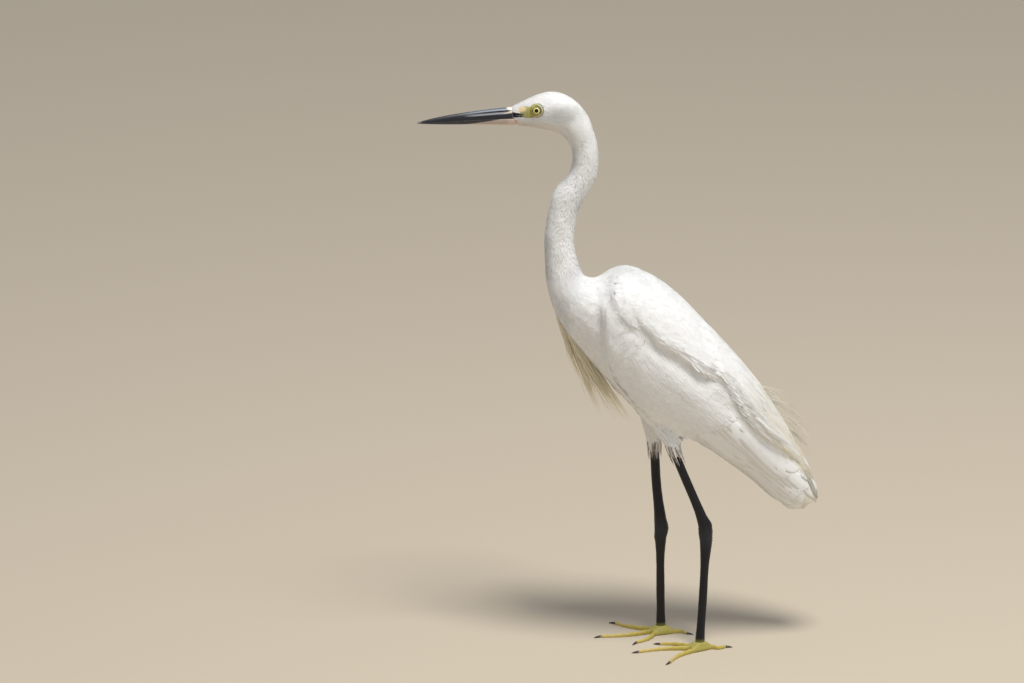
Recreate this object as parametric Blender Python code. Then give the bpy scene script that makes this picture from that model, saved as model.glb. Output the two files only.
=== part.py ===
"""Standing little egret (a small white heron), life size, as a still museum model.

The bird faces -X, its left side is towards -Y and it stands on the floor at Z = 0.
Sizes below are in millimetres; scene units are metres. The feathered body is one
smooth loft from the face to the vent, parted by thin gaps into head, neck and trunk.
Folded wings, the cape of scapulars and back plumes, the tail and the thighs are
separate shells and lofts that lie on it with a thin gap.
"""

import math

import bmesh
import bpy
import numpy as np
from mathutils import Matrix

MM = 0.001
GAP = 0.3  # clearance between neighbouring pieces
SWELL = 0.45  # how far a neighbour is grown before it is cut away, so that facets stay clear
RING = 18  # points round a section of the body

# The feathered body, station by station from the face to the vent. Each row is a section:
# upper point (x, z), lower point (x, z), half width, and how much wider its upper half is.
BODY = {
    "face": ((-148.6, 494.6), (-145.2, 477.4), 5.8, 0.00),
    "lore": ((-135.6, 500.4), (-133.2, 475.9), 9.2, 0.05),
    "eye": ((-122.5, 505.6), (-121.6, 473.7), 12.3, 0.06),
    "crown": ((-109.3, 506.9), (-111.1, 471.0), 14.0, 0.04),
    "hind_crown": ((-95.6, 501.6), (-104.1, 468.2), 14.0, 0.02),
    "occiput": ((-84.6, 491.0), (-99.3, 463.0), 13.2, 0.00),
    "nape": ((-77.0, 475.6), (-95.8, 456.5), 12.0, 0.00),
    "throat": ((-72.6, 459.4), (-94.2, 448.6), 11.2, 0.00),
    "neck_bend": ((-70.9, 443.8), (-94.9, 438.6), 11.0, 0.00),
    "neck_back": ((-72.4, 429.4), (-99.4, 428.6), 11.3, 0.00),
    "neck_slant": ((-81.0, 413.0), (-109.0, 418.6), 11.6, 0.00),
    "neck_front": ((-88.4, 399.0), (-115.0, 402.3), 11.8, 0.00),
    "neck_stem": ((-91.9, 382.3), (-118.1, 383.2), 12.2, 0.00),
    "neck_foot": ((-92.3, 366.2), (-119.0, 364.9), 13.0, 0.00),
    "neck_root": ((-89.0, 352.4), (-118.2, 346.6), 15.0, 0.00),
    "neck_base": ((-81.6, 337.2), (-115.2, 323.6), 19.5, 0.00),
    "shoulder": ((-69.0, 335.6), (-107.8, 300.8), 25.0, 0.05),
    "breast": ((-52.0, 339.5), (-94.0, 279.4), 30.0, 0.10),
    "keel": ((-31.0, 333.5), (-73.2, 253.5), 33.0, 0.12),
    "belly": ((-9.0, 317.5), (-51.0, 227.0), 33.0, 0.12),
    "loin": ((15.5, 290.5), (-21.0, 205.0), 30.0, 0.12),
    "rump": ((42.0, 257.0), (15.0, 190.0), 24.0, 0.10),
    "vent": ((63.0, 224.5), (45.0, 171.0), 16.5, 0.08),
    "under_tail": ((78.0, 192.0), (68.0, 155.5), 11.0, 0.00),
    "under_tail_tip": ((90.5, 165.0), (84.0, 147.5), 6.0, 0.00),
}
BODY_NODES = {  # node: its first and last station
    "head": ("face", "nape"),
    "neck_upper": ("nape", "neck_back"),
    "neck_middle": ("neck_back", "neck_stem"),
    "neck_lower": ("neck_stem", "neck_base"),
    "trunk": ("neck_base", "under_tail_tip"),
}
BODY_STEP = {"head": 5.8, "neck_upper": 6.8, "neck_middle": 7.6, "neck_lower": 8.0, "trunk": 14.0}

BILL_LEAN = -0.2  # how far the base of the bill leans forward as it rises
# The bill: x, culmen z, cutting edge z, lower edge z, half width.
BILL = (
    (-147.3, 494.3, 485.2, 477.6, 5.3),
    (-160.0, 493.4, 484.9, 478.4, 4.7),
    (-176.0, 491.9, 484.4, 479.2, 3.9),
    (-196.0, 489.5, 483.7, 479.9, 3.0),
    (-212.0, 487.0, 483.0, 480.5, 2.2),
    (-223.0, 484.6, 482.5, 481.2, 1.3),
    (-229.6, 482.9, 482.2, 481.7, 0.5),
)
EYE_CENTRE = (-126.3, 8.0, 493.2)  # of the left and right eye, at -Y and +Y
EYE_RADIUS = 6.2

# The folded wing, from the wrist to the tip: upper edge (x, z), lower edge (x, z), then how
# far the upper edge, the widest part and the lower edge stand out, and the wing's depth.
WING = (
    ((-70.8, 320.0), (-72.6, 299.0), (32.0, 34.0, 31.0), 5.0),
    ((-64.5, 327.0), (-69.6, 268.0), (31.0, 37.5, 27.5), 10.0),
    ((-46.0, 325.0), (-58.0, 243.0), (30.0, 40.5, 23.0), 13.0),
    ((-16.0, 304.0), (-37.5, 218.5), (29.0, 42.0, 20.5), 14.0),
    ((12.0, 276.0), (-12.3, 202.4), (27.0, 41.0, 19.5), 14.0),
    ((38.0, 248.0), (15.7, 184.8), (24.0, 37.5, 17.5), 13.0),
    ((63.0, 218.0), (42.0, 167.6), (20.5, 31.5, 15.0), 11.0),
    ((82.0, 193.5), (62.5, 153.5), (18.0, 25.5, 12.5), 7.5),
    ((97.5, 171.5), (77.0, 138.3), (16.5, 21.0, 10.5), 5.0),
    ((107.5, 152.0), (90.5, 124.6), (15.0, 18.0, 9.0), 4.0),
    ((113.0, 139.5), (101.5, 118.4), (13.0, 15.5, 8.0), 3.0),
    ((116.0, 130.5), (111.5, 118.8), (10.5, 12.0, 7.5), 2.2),
)
WING_WIDEST = 0.38  # share of the way from the upper to the lower edge
WING_EDGE = 1.4  # thickness of the feathered edge
WING_STEP = 15.5
WING_POINTS = 9  # from edge to edge

# The cape: scapulars and long back plumes that lie over the wings' upper edges.
# Ridge (x, z), lower edge (x, z), half width there, thickness.
CAPE = (
    ((-61.5, 340.0), (-63.5, 326.0), 34.5, 3.0),
    ((-52.5, 344.6), (-58.5, 316.0), 39.5, 6.0),
    ((-30.6, 340.0), (-48.0, 305.0), 42.5, 7.0),
    ((-7.0, 323.6), (-30.0, 289.0), 44.0, 8.0),
    ((19.2, 296.4), (-5.0, 269.0), 43.0, 8.0),
    ((48.1, 263.6), (25.5, 245.0), 39.5, 8.0),
    ((71.7, 231.0), (49.0, 218.0), 35.0, 7.5),
    ((88.0, 206.0), (67.5, 195.0), 30.5, 6.5),
    ((98.0, 187.0), (83.0, 178.0), 25.0, 4.5),
    ((103.5, 174.5), (95.5, 168.0), 20.0, 2.6),
)
CAPE_ARC = 12
CAPE_EDGE = 1.8
CAPE_STEP = 14.0

# The tail: upper middle (x, z), lower middle (x, z), half width.
TAIL = (
    ((78.0, 205.0), (71.5, 196.0), 9.0),
    ((96.5, 187.0), (90.5, 180.5), 11.5),
    ((109.2, 165.2), (104.6, 162.2), 13.0),
    ((117.6, 146.0), (114.0, 143.6), 12.5),
    ((122.4, 131.5), (119.6, 130.0), 11.0),
    ((122.0, 122.6), (119.4, 121.8), 7.5),
)
TAIL_ROOF = 2.5  # how far the outer tail feathers droop below the middle ones

# Plumes that hang from the breast: root, bend and tip (x, z), side offset, half width.
BREAST_PLUMES = (
    ((-106.0, 303.0), (-98.5, 280.0), (-90.5, 255.0), -2.0, 3.6),
    ((-102.0, 300.0), (-88.0, 262.0), (-71.0, 217.0), 1.5, 5.0),
    ((-99.0, 292.0), (-80.5, 260.0), (-58.0, 216.0), -2.5, 4.4),
    ((-91.0, 284.0), (-67.0, 244.0), (-45.0, 209.5), 2.0, 3.8),
)
PLUME_DEPTH = 4.6  # half depth of a plume lock at its root
# Loose plumes that stand off the lower back: root, bend, tip, side offset, half width.
BACK_PLUMES = (
    ((60.0, 244.0), (79.0, 226.0), (99.0, 211.0), -3.0, 2.0),
    ((66.0, 234.0), (90.0, 212.0), (112.0, 186.0), 3.0, 3.0),
    ((72.0, 224.0), (97.0, 198.0), (117.5, 173.0), -4.0, 2.6),
)
LOOSE_DEPTH = 1.3

# Legs. A row is x, z, y outwards, half size fore and aft, half size sideways.
LEGS = {
    "left": {
        "side": -1,
        "thigh": (
            (-34.0, 228.0, 14.0, 16.0, 9.0),
            (-17.0, 201.5, 12.6, 10.6, 7.4),
            (-9.2, 188.0, 15.6, 7.8, 6.4),
            (-4.9, 175.6, 17.4, 5.4, 5.0),
        ),
        "leg": (
            (-4.8, 175.2, 17.4, 4.5, 4.2),
            (8.6, 142.0, 16.5, 4.6, 3.8),
            (17.6, 119.5, 15.6, 5.3, 4.4),
            (21.4, 105.5, 15.0, 6.3, 5.4),
            (21.6, 94.0, 15.6, 5.8, 4.8),
            (20.6, 80.0, 17.2, 4.5, 3.6),
            (18.4, 45.0, 20.6, 4.2, 3.3),
            (16.0, 16.0, 24.0, 4.3, 3.5),
            (15.4, 8.6, 24.8, 4.7, 4.3),
        ),
        "toes": {"inner": -25.0, "middle": 4.0, "outer": 49.0, "hind": 185.0},
    },
    "right": {
        "side": 1,
        "thigh": (
            (-31.0, 222.0, 14.0, 13.0, 9.0),
            (-24.2, 198.0, 12.6, 8.4, 7.4),
            (-21.6, 184.0, 15.0, 7.0, 6.4),
            (-19.9, 170.6, 16.4, 5.3, 5.0),
        ),
        "leg": (
            (-19.9, 170.2, 16.4, 4.5, 4.2),
            (-18.4, 138.0, 14.6, 4.6, 3.8),
            (-16.2, 117.5, 13.0, 5.2, 4.4),
            (-15.0, 103.5, 12.4, 6.1, 5.3),
            (-15.0, 92.0, 13.2, 5.6, 4.8),
            (-15.0, 78.0, 15.0, 4.4, 3.6),
            (-14.4, 44.0, 19.2, 4.2, 3.3),
            (-13.6, 16.0, 23.4, 4.3, 3.5),
            (-13.4, 8.6, 24.2, 4.7, 4.3),
        ),
        "toes": {"inner": -48.0, "middle": -8.0, "outer": 36.0, "hind": 197.0},
    },
}
LEG_RING = 8
SHANK_END, HOCK_END = 112.5, 88.0  # heights of the cuts above and below the ankle
TOE_LENGTH = {"inner": 36.5, "middle": 54.0, "outer": 46.0, "hind": 22.5}
TOE_START = 10.5  # from the middle of the foot
TOE_HALF_WIDTH = (2.3, 1.5)  # at the root and at the claw
TOE_HEIGHT = (4.4, 2.7)
TOE_JOINTS = {"inner": 2, "middle": 3, "outer": 4, "hind": 1}
TOE_SWAY = 3.0  # sideways bow of a toe
TOE_OUTLINE = (  # shares of the half width and of the height, round a section
    (-0.72, 0.0),
    (-1.0, 0.35),
    (-0.82, 0.74),
    (-0.3, 1.0),
    (0.3, 1.0),
    (0.82, 0.74),
    (1.0, 0.35),
    (0.72, 0.0),
)
CLAW_LENGTH = 6.5
CLAW_HALF = 1.05
FOOT_DOME = 7.6  # height of the foot under the shank of the tarsus

COLOURS = {  # base colour, roughness, metallic
    "plumage": ((0.87, 0.86, 0.83), 0.75, 0.0),
    "plume": ((0.86, 0.81, 0.68), 0.7, 0.0),
    "bill": ((0.025, 0.026, 0.032), 0.35, 0.0),
    "bill_base": ((0.10, 0.09, 0.09), 0.4, 0.0),
    "eye": ((0.75, 0.62, 0.12), 0.1, 0.0),
    "leg": ((0.012, 0.012, 0.012), 0.5, 0.0),
    "toe": ((0.62, 0.56, 0.10), 0.55, 0.0),
    "claw": ((0.05, 0.04, 0.03), 0.4, 0.0),
}


# ---------------------------------------------------------------- curves and meshes
class Spline:
    """A natural cubic curve through rows of numbers, measured along the chords of its points."""

    def __init__(self, rows, points):
        self.rows = np.array(rows, float)
        points = np.array(points, float)
        self.at = np.concatenate([[0.0], np.cumsum(np.linalg.norm(np.diff(points, axis=0), axis=1))])
        h = np.diff(self.at)
        n = len(self.at)
        system = np.eye(n)
        right = np.zeros_like(self.rows)
        slope = np.diff(self.rows, axis=0) / h[:, None]
        for i in range(1, n - 1):
            system[i, i - 1 : i + 2] = h[i - 1], 2 * (h[i - 1] + h[i]), h[i]
            right[i] = 6 * (slope[i] - slope[i - 1])
        self.bend = np.linalg.solve(system, right)

    def __call__(self, s):
        i = int(np.clip(np.searchsorted(self.at, s) - 1, 0, len(self.at) - 2))
        h = self.at[i + 1] - self.at[i]
        a, b = (self.at[i + 1] - s) / h, (s - self.at[i]) / h
        value = a * self.rows[i] + b * self.rows[i + 1]
        bent = (a**3 - a) * self.bend[i] + (b**3 - b) * self.bend[i + 1]
        return value + bent * h * h / 6

    def samples(self, step, low=None, high=None):
        low = self.at[0] if low is None else low
        high = self.at[-1] if high is None else high
        count = max(2, math.ceil((high - low) / step) + 1)
        return [self(s) for s in np.linspace(low, high, count)]


def material(name):
    found = bpy.data.materials.get(name)
    if found:
        return found
    made = bpy.data.materials.new(name)
    made.use_nodes = True
    colour, roughness, metallic = COLOURS[name]
    shader = made.node_tree.nodes["Principled BSDF"]
    shader.inputs["Base Color"].default_value = (*colour, 1.0)
    shader.inputs["Roughness"].default_value = roughness
    shader.inputs["Metallic"].default_value = metallic
    made.diffuse_color = (*colour, 1.0)
    return made


def add_object(name, bm, finish):
    """Turns a bmesh in millimetres into a named object in metres."""
    bmesh.ops.scale(bm, vec=(MM, MM, MM), verts=bm.verts)
    bmesh.ops.recalc_face_normals(bm, faces=bm.faces)
    mesh = bpy.data.meshes.new(name)
    bm.to_mesh(mesh)
    bm.free()
    mesh.materials.append(material(finish))
    mesh.shade_smooth()
    made = bpy.data.objects.new(name, mesh)
    bpy.context.scene.collection.objects.link(made)
    return made


def loft(name, rings, finish):
    """One closed body through rings of equally many points, capped at both ends."""
    bm = bmesh.new()
    made = [[bm.verts.new(p) for p in ring] for ring in rings]
    for one, two in zip(made, made[1:]):
        for i in range(len(one)):
            j = (i + 1) % len(one)
            bm.faces.new((one[i], one[j], two[j], two[i]))
    bm.faces.new(made[0])
    bm.faces.new(made[-1])
    return add_object(name, bm, finish)


def hull(name, points, finish):
    bm = bmesh.new()
    for p in points:
        bm.verts.new(p)
    result = bmesh.ops.convex_hull(bm, input=bm.verts)
    inner = result["geom_interior"] + result["geom_unused"]
    spare = {v for v in inner if isinstance(v, bmesh.types.BMVert)}
    bmesh.ops.delete(bm, geom=list(spare), context="VERTS")
    return add_object(name, bm, finish)


def helper(made):
    """Marks an object as a cutter or a guide, which isn't part of the bird."""
    made.hide_render = True
    made.display_type = "WIRE"
    return made


def swollen(source, by=SWELL):
    """A hidden copy of a simple loft, grown along its normals, to cut room for it with."""
    mesh = source.data.copy()
    normals = [v.normal.copy() for v in mesh.vertices]
    for v, n in zip(mesh.vertices, normals):
        v.co += n * by * MM
    made = bpy.data.objects.new(source.name + "_room", mesh)
    bpy.context.scene.collection.objects.link(made)
    return helper(made)


def combine(target, other, operation):
    step = target.modifiers.new(operation.lower() + "_" + other.name, "BOOLEAN")
    step.operation = operation
    step.solver = "EXACT"
    step.object = other


# ---------------------------------------------------------------- head, neck and trunk
def body_section(row, points=RING):
    """A ring round the body: an egg that leans to its wider half."""
    upper, lower = np.array(row[0:2]), np.array(row[2:4])
    half_width, lean = row[4], row[5]
    centre, arm = (upper + lower) / 2, (upper - lower) / 2
    ring = []
    for i in range(points):
        turn = 2 * math.pi * i / points
        x, z = centre + arm * math.sin(turn)
        ring.append((x, half_width * math.cos(turn) * (1 + lean * math.sin(turn)), z))
    return ring


def body_curve():
    rows = [(*upper, *lower, width, lean) for upper, lower, width, lean in BODY.values()]
    centres = [((r[0] + r[2]) / 2, (r[1] + r[3]) / 2) for r in rows]
    return Spline(rows, centres)


def build_body():
    curve = body_curve()
    place = dict(zip(BODY, curve.at))
    made = {}
    for node, (first, last) in BODY_NODES.items():
        low = place[first] + (GAP if first != "face" else 0)
        high = place[last]
        rings = [body_section(row) for row in curve.samples(BODY_STEP[node], low, high)]
        made[node] = loft(node, rings, "plumage")
    return made


def build_eyes(head):
    x, y, z = EYE_CENTRE
    for side, name in ((-1, "left"), (1, "right")):
        for grow, title in ((GAP, "socket_"), (0.0, "eye_")):
            bm = bmesh.new()
            bmesh.ops.create_uvsphere(bm, u_segments=12, v_segments=8, radius=EYE_RADIUS + grow)
            bmesh.ops.rotate(bm, verts=bm.verts, matrix=Matrix.Rotation(math.radians(90), 3, "X"))
            bmesh.ops.translate(bm, verts=bm.verts, vec=(x, side * y, z))
            ball = add_object(title + name, bm, "eye")
            if grow:
                combine(head, helper(ball), "DIFFERENCE")


def build_bill():
    """Two mandibles that meet along the cutting edges; each is flat where they meet."""
    points = [(x, culmen) for x, culmen, *_ in BILL]
    rows = Spline(BILL, points).samples(10.0)
    base, tip, middle = BILL[0][0], BILL[-1][0], BILL[0][2]
    arc = [math.pi * i / 8 for i in range(9)]
    for name, sign, outer, finish in (("bill_upper", 1, 1, "bill"), ("bill_lower", -1, 3, "bill_base")):
        rings = []
        for row in rows:
            edge, half = row[2] + sign * GAP / 2, row[4]
            depth = abs(row[outer] - edge)
            lean = BILL_LEAN * (row[0] - tip) / (base - tip)
            ring = []
            for turn in arc:
                z = edge + sign * depth * math.sin(turn) ** 0.85
                ring.append((row[0] + lean * (z - middle), half * math.cos(turn), z))
            rings.append(ring)
        loft(name, rings, finish)


# ---------------------------------------------------------------- wings, cape, tail, thighs
def wing_section(row, side):
    """A crescent: the outside bulges, the inside follows it at the wing's depth."""
    upper, lower, (top, out, bottom), depth = np.array(row[0:2]), np.array(row[2:4]), row[4:7], row[7]
    shares = [i / (WING_POINTS - 1) for i in range(WING_POINTS)]

    def bulge(v):
        if v < WING_WIDEST:
            return out + (top - out) * ((WING_WIDEST - v) / WING_WIDEST) ** 2
        return out + (bottom - out) * ((v - WING_WIDEST) / (1 - WING_WIDEST)) ** 2.2

    def inside(v):
        return bulge(v) - WING_EDGE - (depth - WING_EDGE) * math.sin(math.pi * v) ** 0.8

    outer = [(*(upper + (lower - upper) * v), side * bulge(v)) for v in shares]
    inner = [(*(upper + (lower - upper) * v), side * inside(v)) for v in reversed(shares)]
    return [(x, y, z) for x, z, y in outer + inner]


def build_wing(name, side, cutters):
    rows = [(*upper, *lower, *stands, depth) for upper, lower, stands, depth in WING]
    middles = [((r[0] + r[2]) / 2, (r[1] + r[3]) / 2) for r in rows]
    rings = [wing_section(row, side) for row in Spline(rows, middles).samples(WING_STEP)]
    wing = loft(name, rings, "plumage")
    room = swollen(wing)
    for cutter in cutters:
        combine(wing, cutter, "DIFFERENCE")
    return wing, room


def cape_section(row):
    """An arch over the back, from one lower edge over the ridge to the other."""
    ridge, edge, half, thick = np.array(row[0:2]), np.array(row[2:4]), row[4], row[5]
    outer, inner = [], []
    for i in range(CAPE_ARC + 1):
        turn = math.pi * (i / CAPE_ARC - 0.5)
        across, down = math.sin(turn), 1 - math.cos(turn)
        x, z = ridge + (edge - ridge) * down
        outer.append((x, half * across, z))
        depth = CAPE_EDGE + (thick - CAPE_EDGE) * math.cos(turn) ** 0.5
        run = (edge - ridge) / np.linalg.norm(edge - ridge)
        x, z = ridge + run * depth + (edge - ridge - run * depth) * down
        inner.append((x, (half - depth * abs(across)) * across, z))
    return outer + inner[::-1]


def build_cape(cutters):
    rows = [(*ridge, *edge, half, thick) for ridge, edge, half, thick in CAPE]
    rings = [cape_section(row) for row in Spline(rows, [r[0:2] for r in rows]).samples(CAPE_STEP)]
    cape = loft("cape", rings, "plume")
    for index, row in enumerate(BACK_PLUMES):
        lock = plume_lock(f"back_plume_{index}", row, LOOSE_DEPTH)
        combine(cape, helper(lock), "UNION")
    for cutter in cutters:
        combine(cape, cutter, "DIFFERENCE")
    return cape


def build_tail(trunk_room):
    rows = [(*upper, *lower, half) for upper, lower, half in TAIL]
    rings = []
    for row in Spline(rows, [r[0:2] for r in rows]).samples(14.0):
        upper, lower, half = np.array(row[0:2]), np.array(row[2:4]), row[4]
        down = (lower - upper) / np.linalg.norm(lower - upper)
        shares = [i / 4 - 1 for i in range(9)]
        top = [(*(upper + down * TAIL_ROOF * u * u), half * u) for u in shares]
        bottom = [(*(lower + down * TAIL_ROOF * u * u), half * u) for u in reversed(shares)]
        rings.append([(x, y, z) for x, z, y in top + bottom])
    tail = loft("tail", rings, "plumage")
    room = swollen(tail)
    combine(tail, trunk_room, "DIFFERENCE")
    return room


def plume_lock(name, row, depth):
    """A tapering lock through a root, a bend and a tip, flattened sideways to its run."""
    root, bend, tip, offset, half = row
    curve = Spline([root, bend, tip], [root, bend, tip])
    path = curve.samples(9.0)
    rings = []
    for i, point in enumerate(path):
        before, after = path[max(i - 1, 0)], path[min(i + 1, len(path) - 1)]
        run = (after - before) / np.linalg.norm(after - before)
        across = np.array((-run[1], run[0]))
        share = i / (len(path) - 1)
        taper = max(0.16, (1 - share) ** 0.6) * min(1.0, 0.3 + 4 * share)
        ring = []
        for j in range(8):
            turn = 2 * math.pi * j / 8
            x, z = point + across * depth * taper * math.sin(turn)
            ring.append((x, offset + half * taper * math.cos(turn), z))
        rings.append(ring)
    return loft(name, rings, "plume")


def build_breast_plumes(cutters):
    locks = [plume_lock(f"breast_lock_{i}", row, PLUME_DEPTH) for i, row in enumerate(BREAST_PLUMES)]
    plumes = locks[0]
    plumes.name = "breast_plumes"
    for lock in locks[1:]:
        combine(plumes, helper(lock), "UNION")
    for cutter in cutters:
        combine(plumes, cutter, "DIFFERENCE")


# ---------------------------------------------------------------- legs and feet
def limb(name, rows, side, finish, low=None, high=None):
    """A round limb from top to bottom, in level rings, between two heights."""
    curve = Spline(rows, [(r[0], r[1]) for r in rows])
    heights = [row[1] for row in rows]
    high = heights[0] if high is None else high
    low = heights[-1] if low is None else low
    start, stop = (np.interp(-z, [-h for h in heights], curve.at) for z in (high, low))
    rings = []
    for x, z, y, fore, wide in curve.samples(12.0, start, stop):
        turns = [2 * math.pi * i / LEG_RING for i in range(LEG_RING)]
        rings.append([(x + fore * math.cos(t), side * y + wide * math.sin(t), z) for t in turns])
    return loft(name, rings, finish)


def toe_ring(point, heading, half, height):
    """A section of a toe, flat where it lies on the floor."""
    across = np.array((-math.sin(heading), math.cos(heading))) * half
    return [(*(point + across * u), height * v) for u, v in TOE_OUTLINE]


def build_toe(name, centre, heading, digit, side):
    """A toe along the floor with a swelling at each joint, and its claw."""
    length, joints = TOE_LENGTH[digit], TOE_JOINTS[digit]
    run = np.array((math.cos(heading), math.sin(heading)))
    across = np.array((-run[1], run[0])) * side
    count = 2 * joints + 3
    rings = []
    for i in range(count):
        share = i / (count - 1)
        along = TOE_START + (length - TOE_START) * share
        point = centre + run * along + across * TOE_SWAY * math.sin(math.pi * share)
        swell = 1 + 0.10 * (i % 2)
        half = (TOE_HALF_WIDTH[0] + (TOE_HALF_WIDTH[1] - TOE_HALF_WIDTH[0]) * share) * swell
        height = (TOE_HEIGHT[0] + (TOE_HEIGHT[1] - TOE_HEIGHT[0]) * share) * swell
        rings.append(toe_ring(point, heading, half, height))
    loft(name, rings, "toe")
    claw = []
    for i in range(4):
        share = i / 3
        point = centre + run * (length + GAP + CLAW_LENGTH * share)
        half = CLAW_HALF * (1 - 0.72 * share)
        claw.append(toe_ring(point, heading, half, 2.0 * (1 - share) ** 0.7 + 0.6))
    loft(name.replace("toe", "claw"), claw, "claw")
    return rings[0]


def build_leg(name, spec, cutters):
    side = spec["side"]
    thigh = limb(f"thigh_{name}", spec["thigh"], side, "plumage")
    for cutter in cutters:
        combine(thigh, cutter, "DIFFERENCE")
    rows = spec["leg"]
    limb(f"shank_{name}", rows, side, "leg", low=SHANK_END + GAP)
    limb(f"hock_{name}", rows, side, "leg", low=HOCK_END + GAP, high=SHANK_END)
    limb(f"tarsus_{name}", rows, side, "leg", high=HOCK_END)
    x, _, y, fore, wide = rows[-1]
    centre = np.array((x, side * y))
    roots = []
    for digit, angle in spec["toes"].items():
        heading = math.pi - side * math.radians(angle)
        root = build_toe(f"toe_{digit}_{name}", centre, heading, digit, side)
        back = np.array((math.cos(heading), math.sin(heading), 0.0)) * GAP
        roots += [tuple(np.array(p) - back) for p in root]
    turns = [2 * math.pi * i / LEG_RING for i in range(LEG_RING)]
    roots += [(x + fore * math.cos(t), side * y + wide * math.sin(t), FOOT_DOME) for t in turns]
    hull(f"foot_{name}", roots, "toe")


def set_origin():
    """Moves everything so that the origin is under the middle of the bird's box, on the floor."""
    bpy.context.view_layer.update()
    graph = bpy.context.evaluated_depsgraph_get()
    shown = [o for o in bpy.context.scene.objects if not o.hide_render]
    corners = np.array([tuple(v.co) for o in shown for v in o.evaluated_get(graph).data.vertices])
    middle = (corners.min(axis=0) + corners.max(axis=0)) / 2
    for o in bpy.context.scene.objects:
        o.location.x -= middle[0]
        o.location.y -= middle[1]


def main():
    for old in list(bpy.data.objects):
        bpy.data.objects.remove(old)
    body = build_body()
    build_eyes(body["head"])
    build_bill()
    trunk_room = swollen(body["trunk"])
    tail_room = build_tail(trunk_room)
    rooms = [trunk_room, tail_room]
    for side, name in ((-1, "left"), (1, "right")):
        wing, room = build_wing(f"wing_{name}", side, [trunk_room, tail_room])
        rooms.append(room)
    build_cape(rooms)
    build_breast_plumes([trunk_room, swollen(body["neck_lower"])])
    for name, spec in LEGS.items():
        build_leg(name, spec, [trunk_room, rooms[2], rooms[3]])
    set_origin()


main()
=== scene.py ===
"""The looks of the standing little egret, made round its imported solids.

One skin lies under the whole coat, with the lids and the bare face on it. Tufts, contour
feathers, quills and plumes are closed locks and vanes that lie over it. Bill, eyes, legs, toes
and claws are pieces of their own. Sizes are in millimetres until add_mesh turns them into metres.
"""

import math

import bpy
import numpy as np
from mathutils.bvhtree import BVHTree
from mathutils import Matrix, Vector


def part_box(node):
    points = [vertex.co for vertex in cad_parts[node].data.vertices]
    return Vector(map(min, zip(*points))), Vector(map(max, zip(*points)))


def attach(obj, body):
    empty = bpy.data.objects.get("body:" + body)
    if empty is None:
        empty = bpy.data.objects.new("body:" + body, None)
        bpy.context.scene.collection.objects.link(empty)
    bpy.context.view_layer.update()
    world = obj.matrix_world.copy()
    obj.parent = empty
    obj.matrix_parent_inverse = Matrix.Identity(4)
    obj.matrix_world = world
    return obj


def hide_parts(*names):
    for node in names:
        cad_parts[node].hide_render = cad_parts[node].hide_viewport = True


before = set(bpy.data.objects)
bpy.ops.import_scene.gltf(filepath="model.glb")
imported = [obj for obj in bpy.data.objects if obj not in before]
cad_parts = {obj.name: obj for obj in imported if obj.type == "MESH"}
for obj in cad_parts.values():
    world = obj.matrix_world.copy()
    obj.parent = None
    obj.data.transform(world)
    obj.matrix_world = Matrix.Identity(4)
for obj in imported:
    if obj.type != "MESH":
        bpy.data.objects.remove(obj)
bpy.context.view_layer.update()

MM = 0.001
SIDES = {"left": -1, "right": 1}
BODY_CHAIN = ("head", "neck_upper", "neck_middle", "neck_lower", "trunk")
FLESH = (*BODY_CHAIN, "thigh_left", "thigh_right", "wing_left", "wing_right", "cape", "tail")
WHOLE = (*FLESH, "eye_left", "eye_right")
UV_PATCH = 0.003  # width of a tuft's patch on the baked map

# How deep the skin lies under the outline of the coat. The skin bridges the slits between the
# solids, and the feathers lie on a surface that bridges wider ones.
COAT_DEPTH = {"head": 0.7, "neck_upper": 1.1, "neck_middle": 1.2, "neck_lower": 1.4, "trunk": 1.8}
COAT_DEPTH |= {"wing_left": 1.3, "wing_right": 1.3, "thigh_left": 1.2, "thigh_right": 1.2}
COAT_DEPTH |= {"cape": 1.7, "tail": 0.5}
BRIDGE, COAT_BRIDGE = 1.5, 3.5
VOXEL, COAT_VOXEL = 1.5, 1.3
ROOT_DEPTH = 0.9  # of a feather's root, as a share of the coat's depth
LOCKS = 7  # in one contour feather
TURN = 0.35  # how fast a feather turns to the lie of the coat
SHORTER = 0.4  # share of its length that a feather keeps where the whole would stand off

# The ridge of the cape towards the tail: x and z from the lowest corner of its solid.
RIDGE = ((56, 156), (83, 128), (112, 96), (135, 63), (151, 38), (162, 19), (167, 6))
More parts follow.
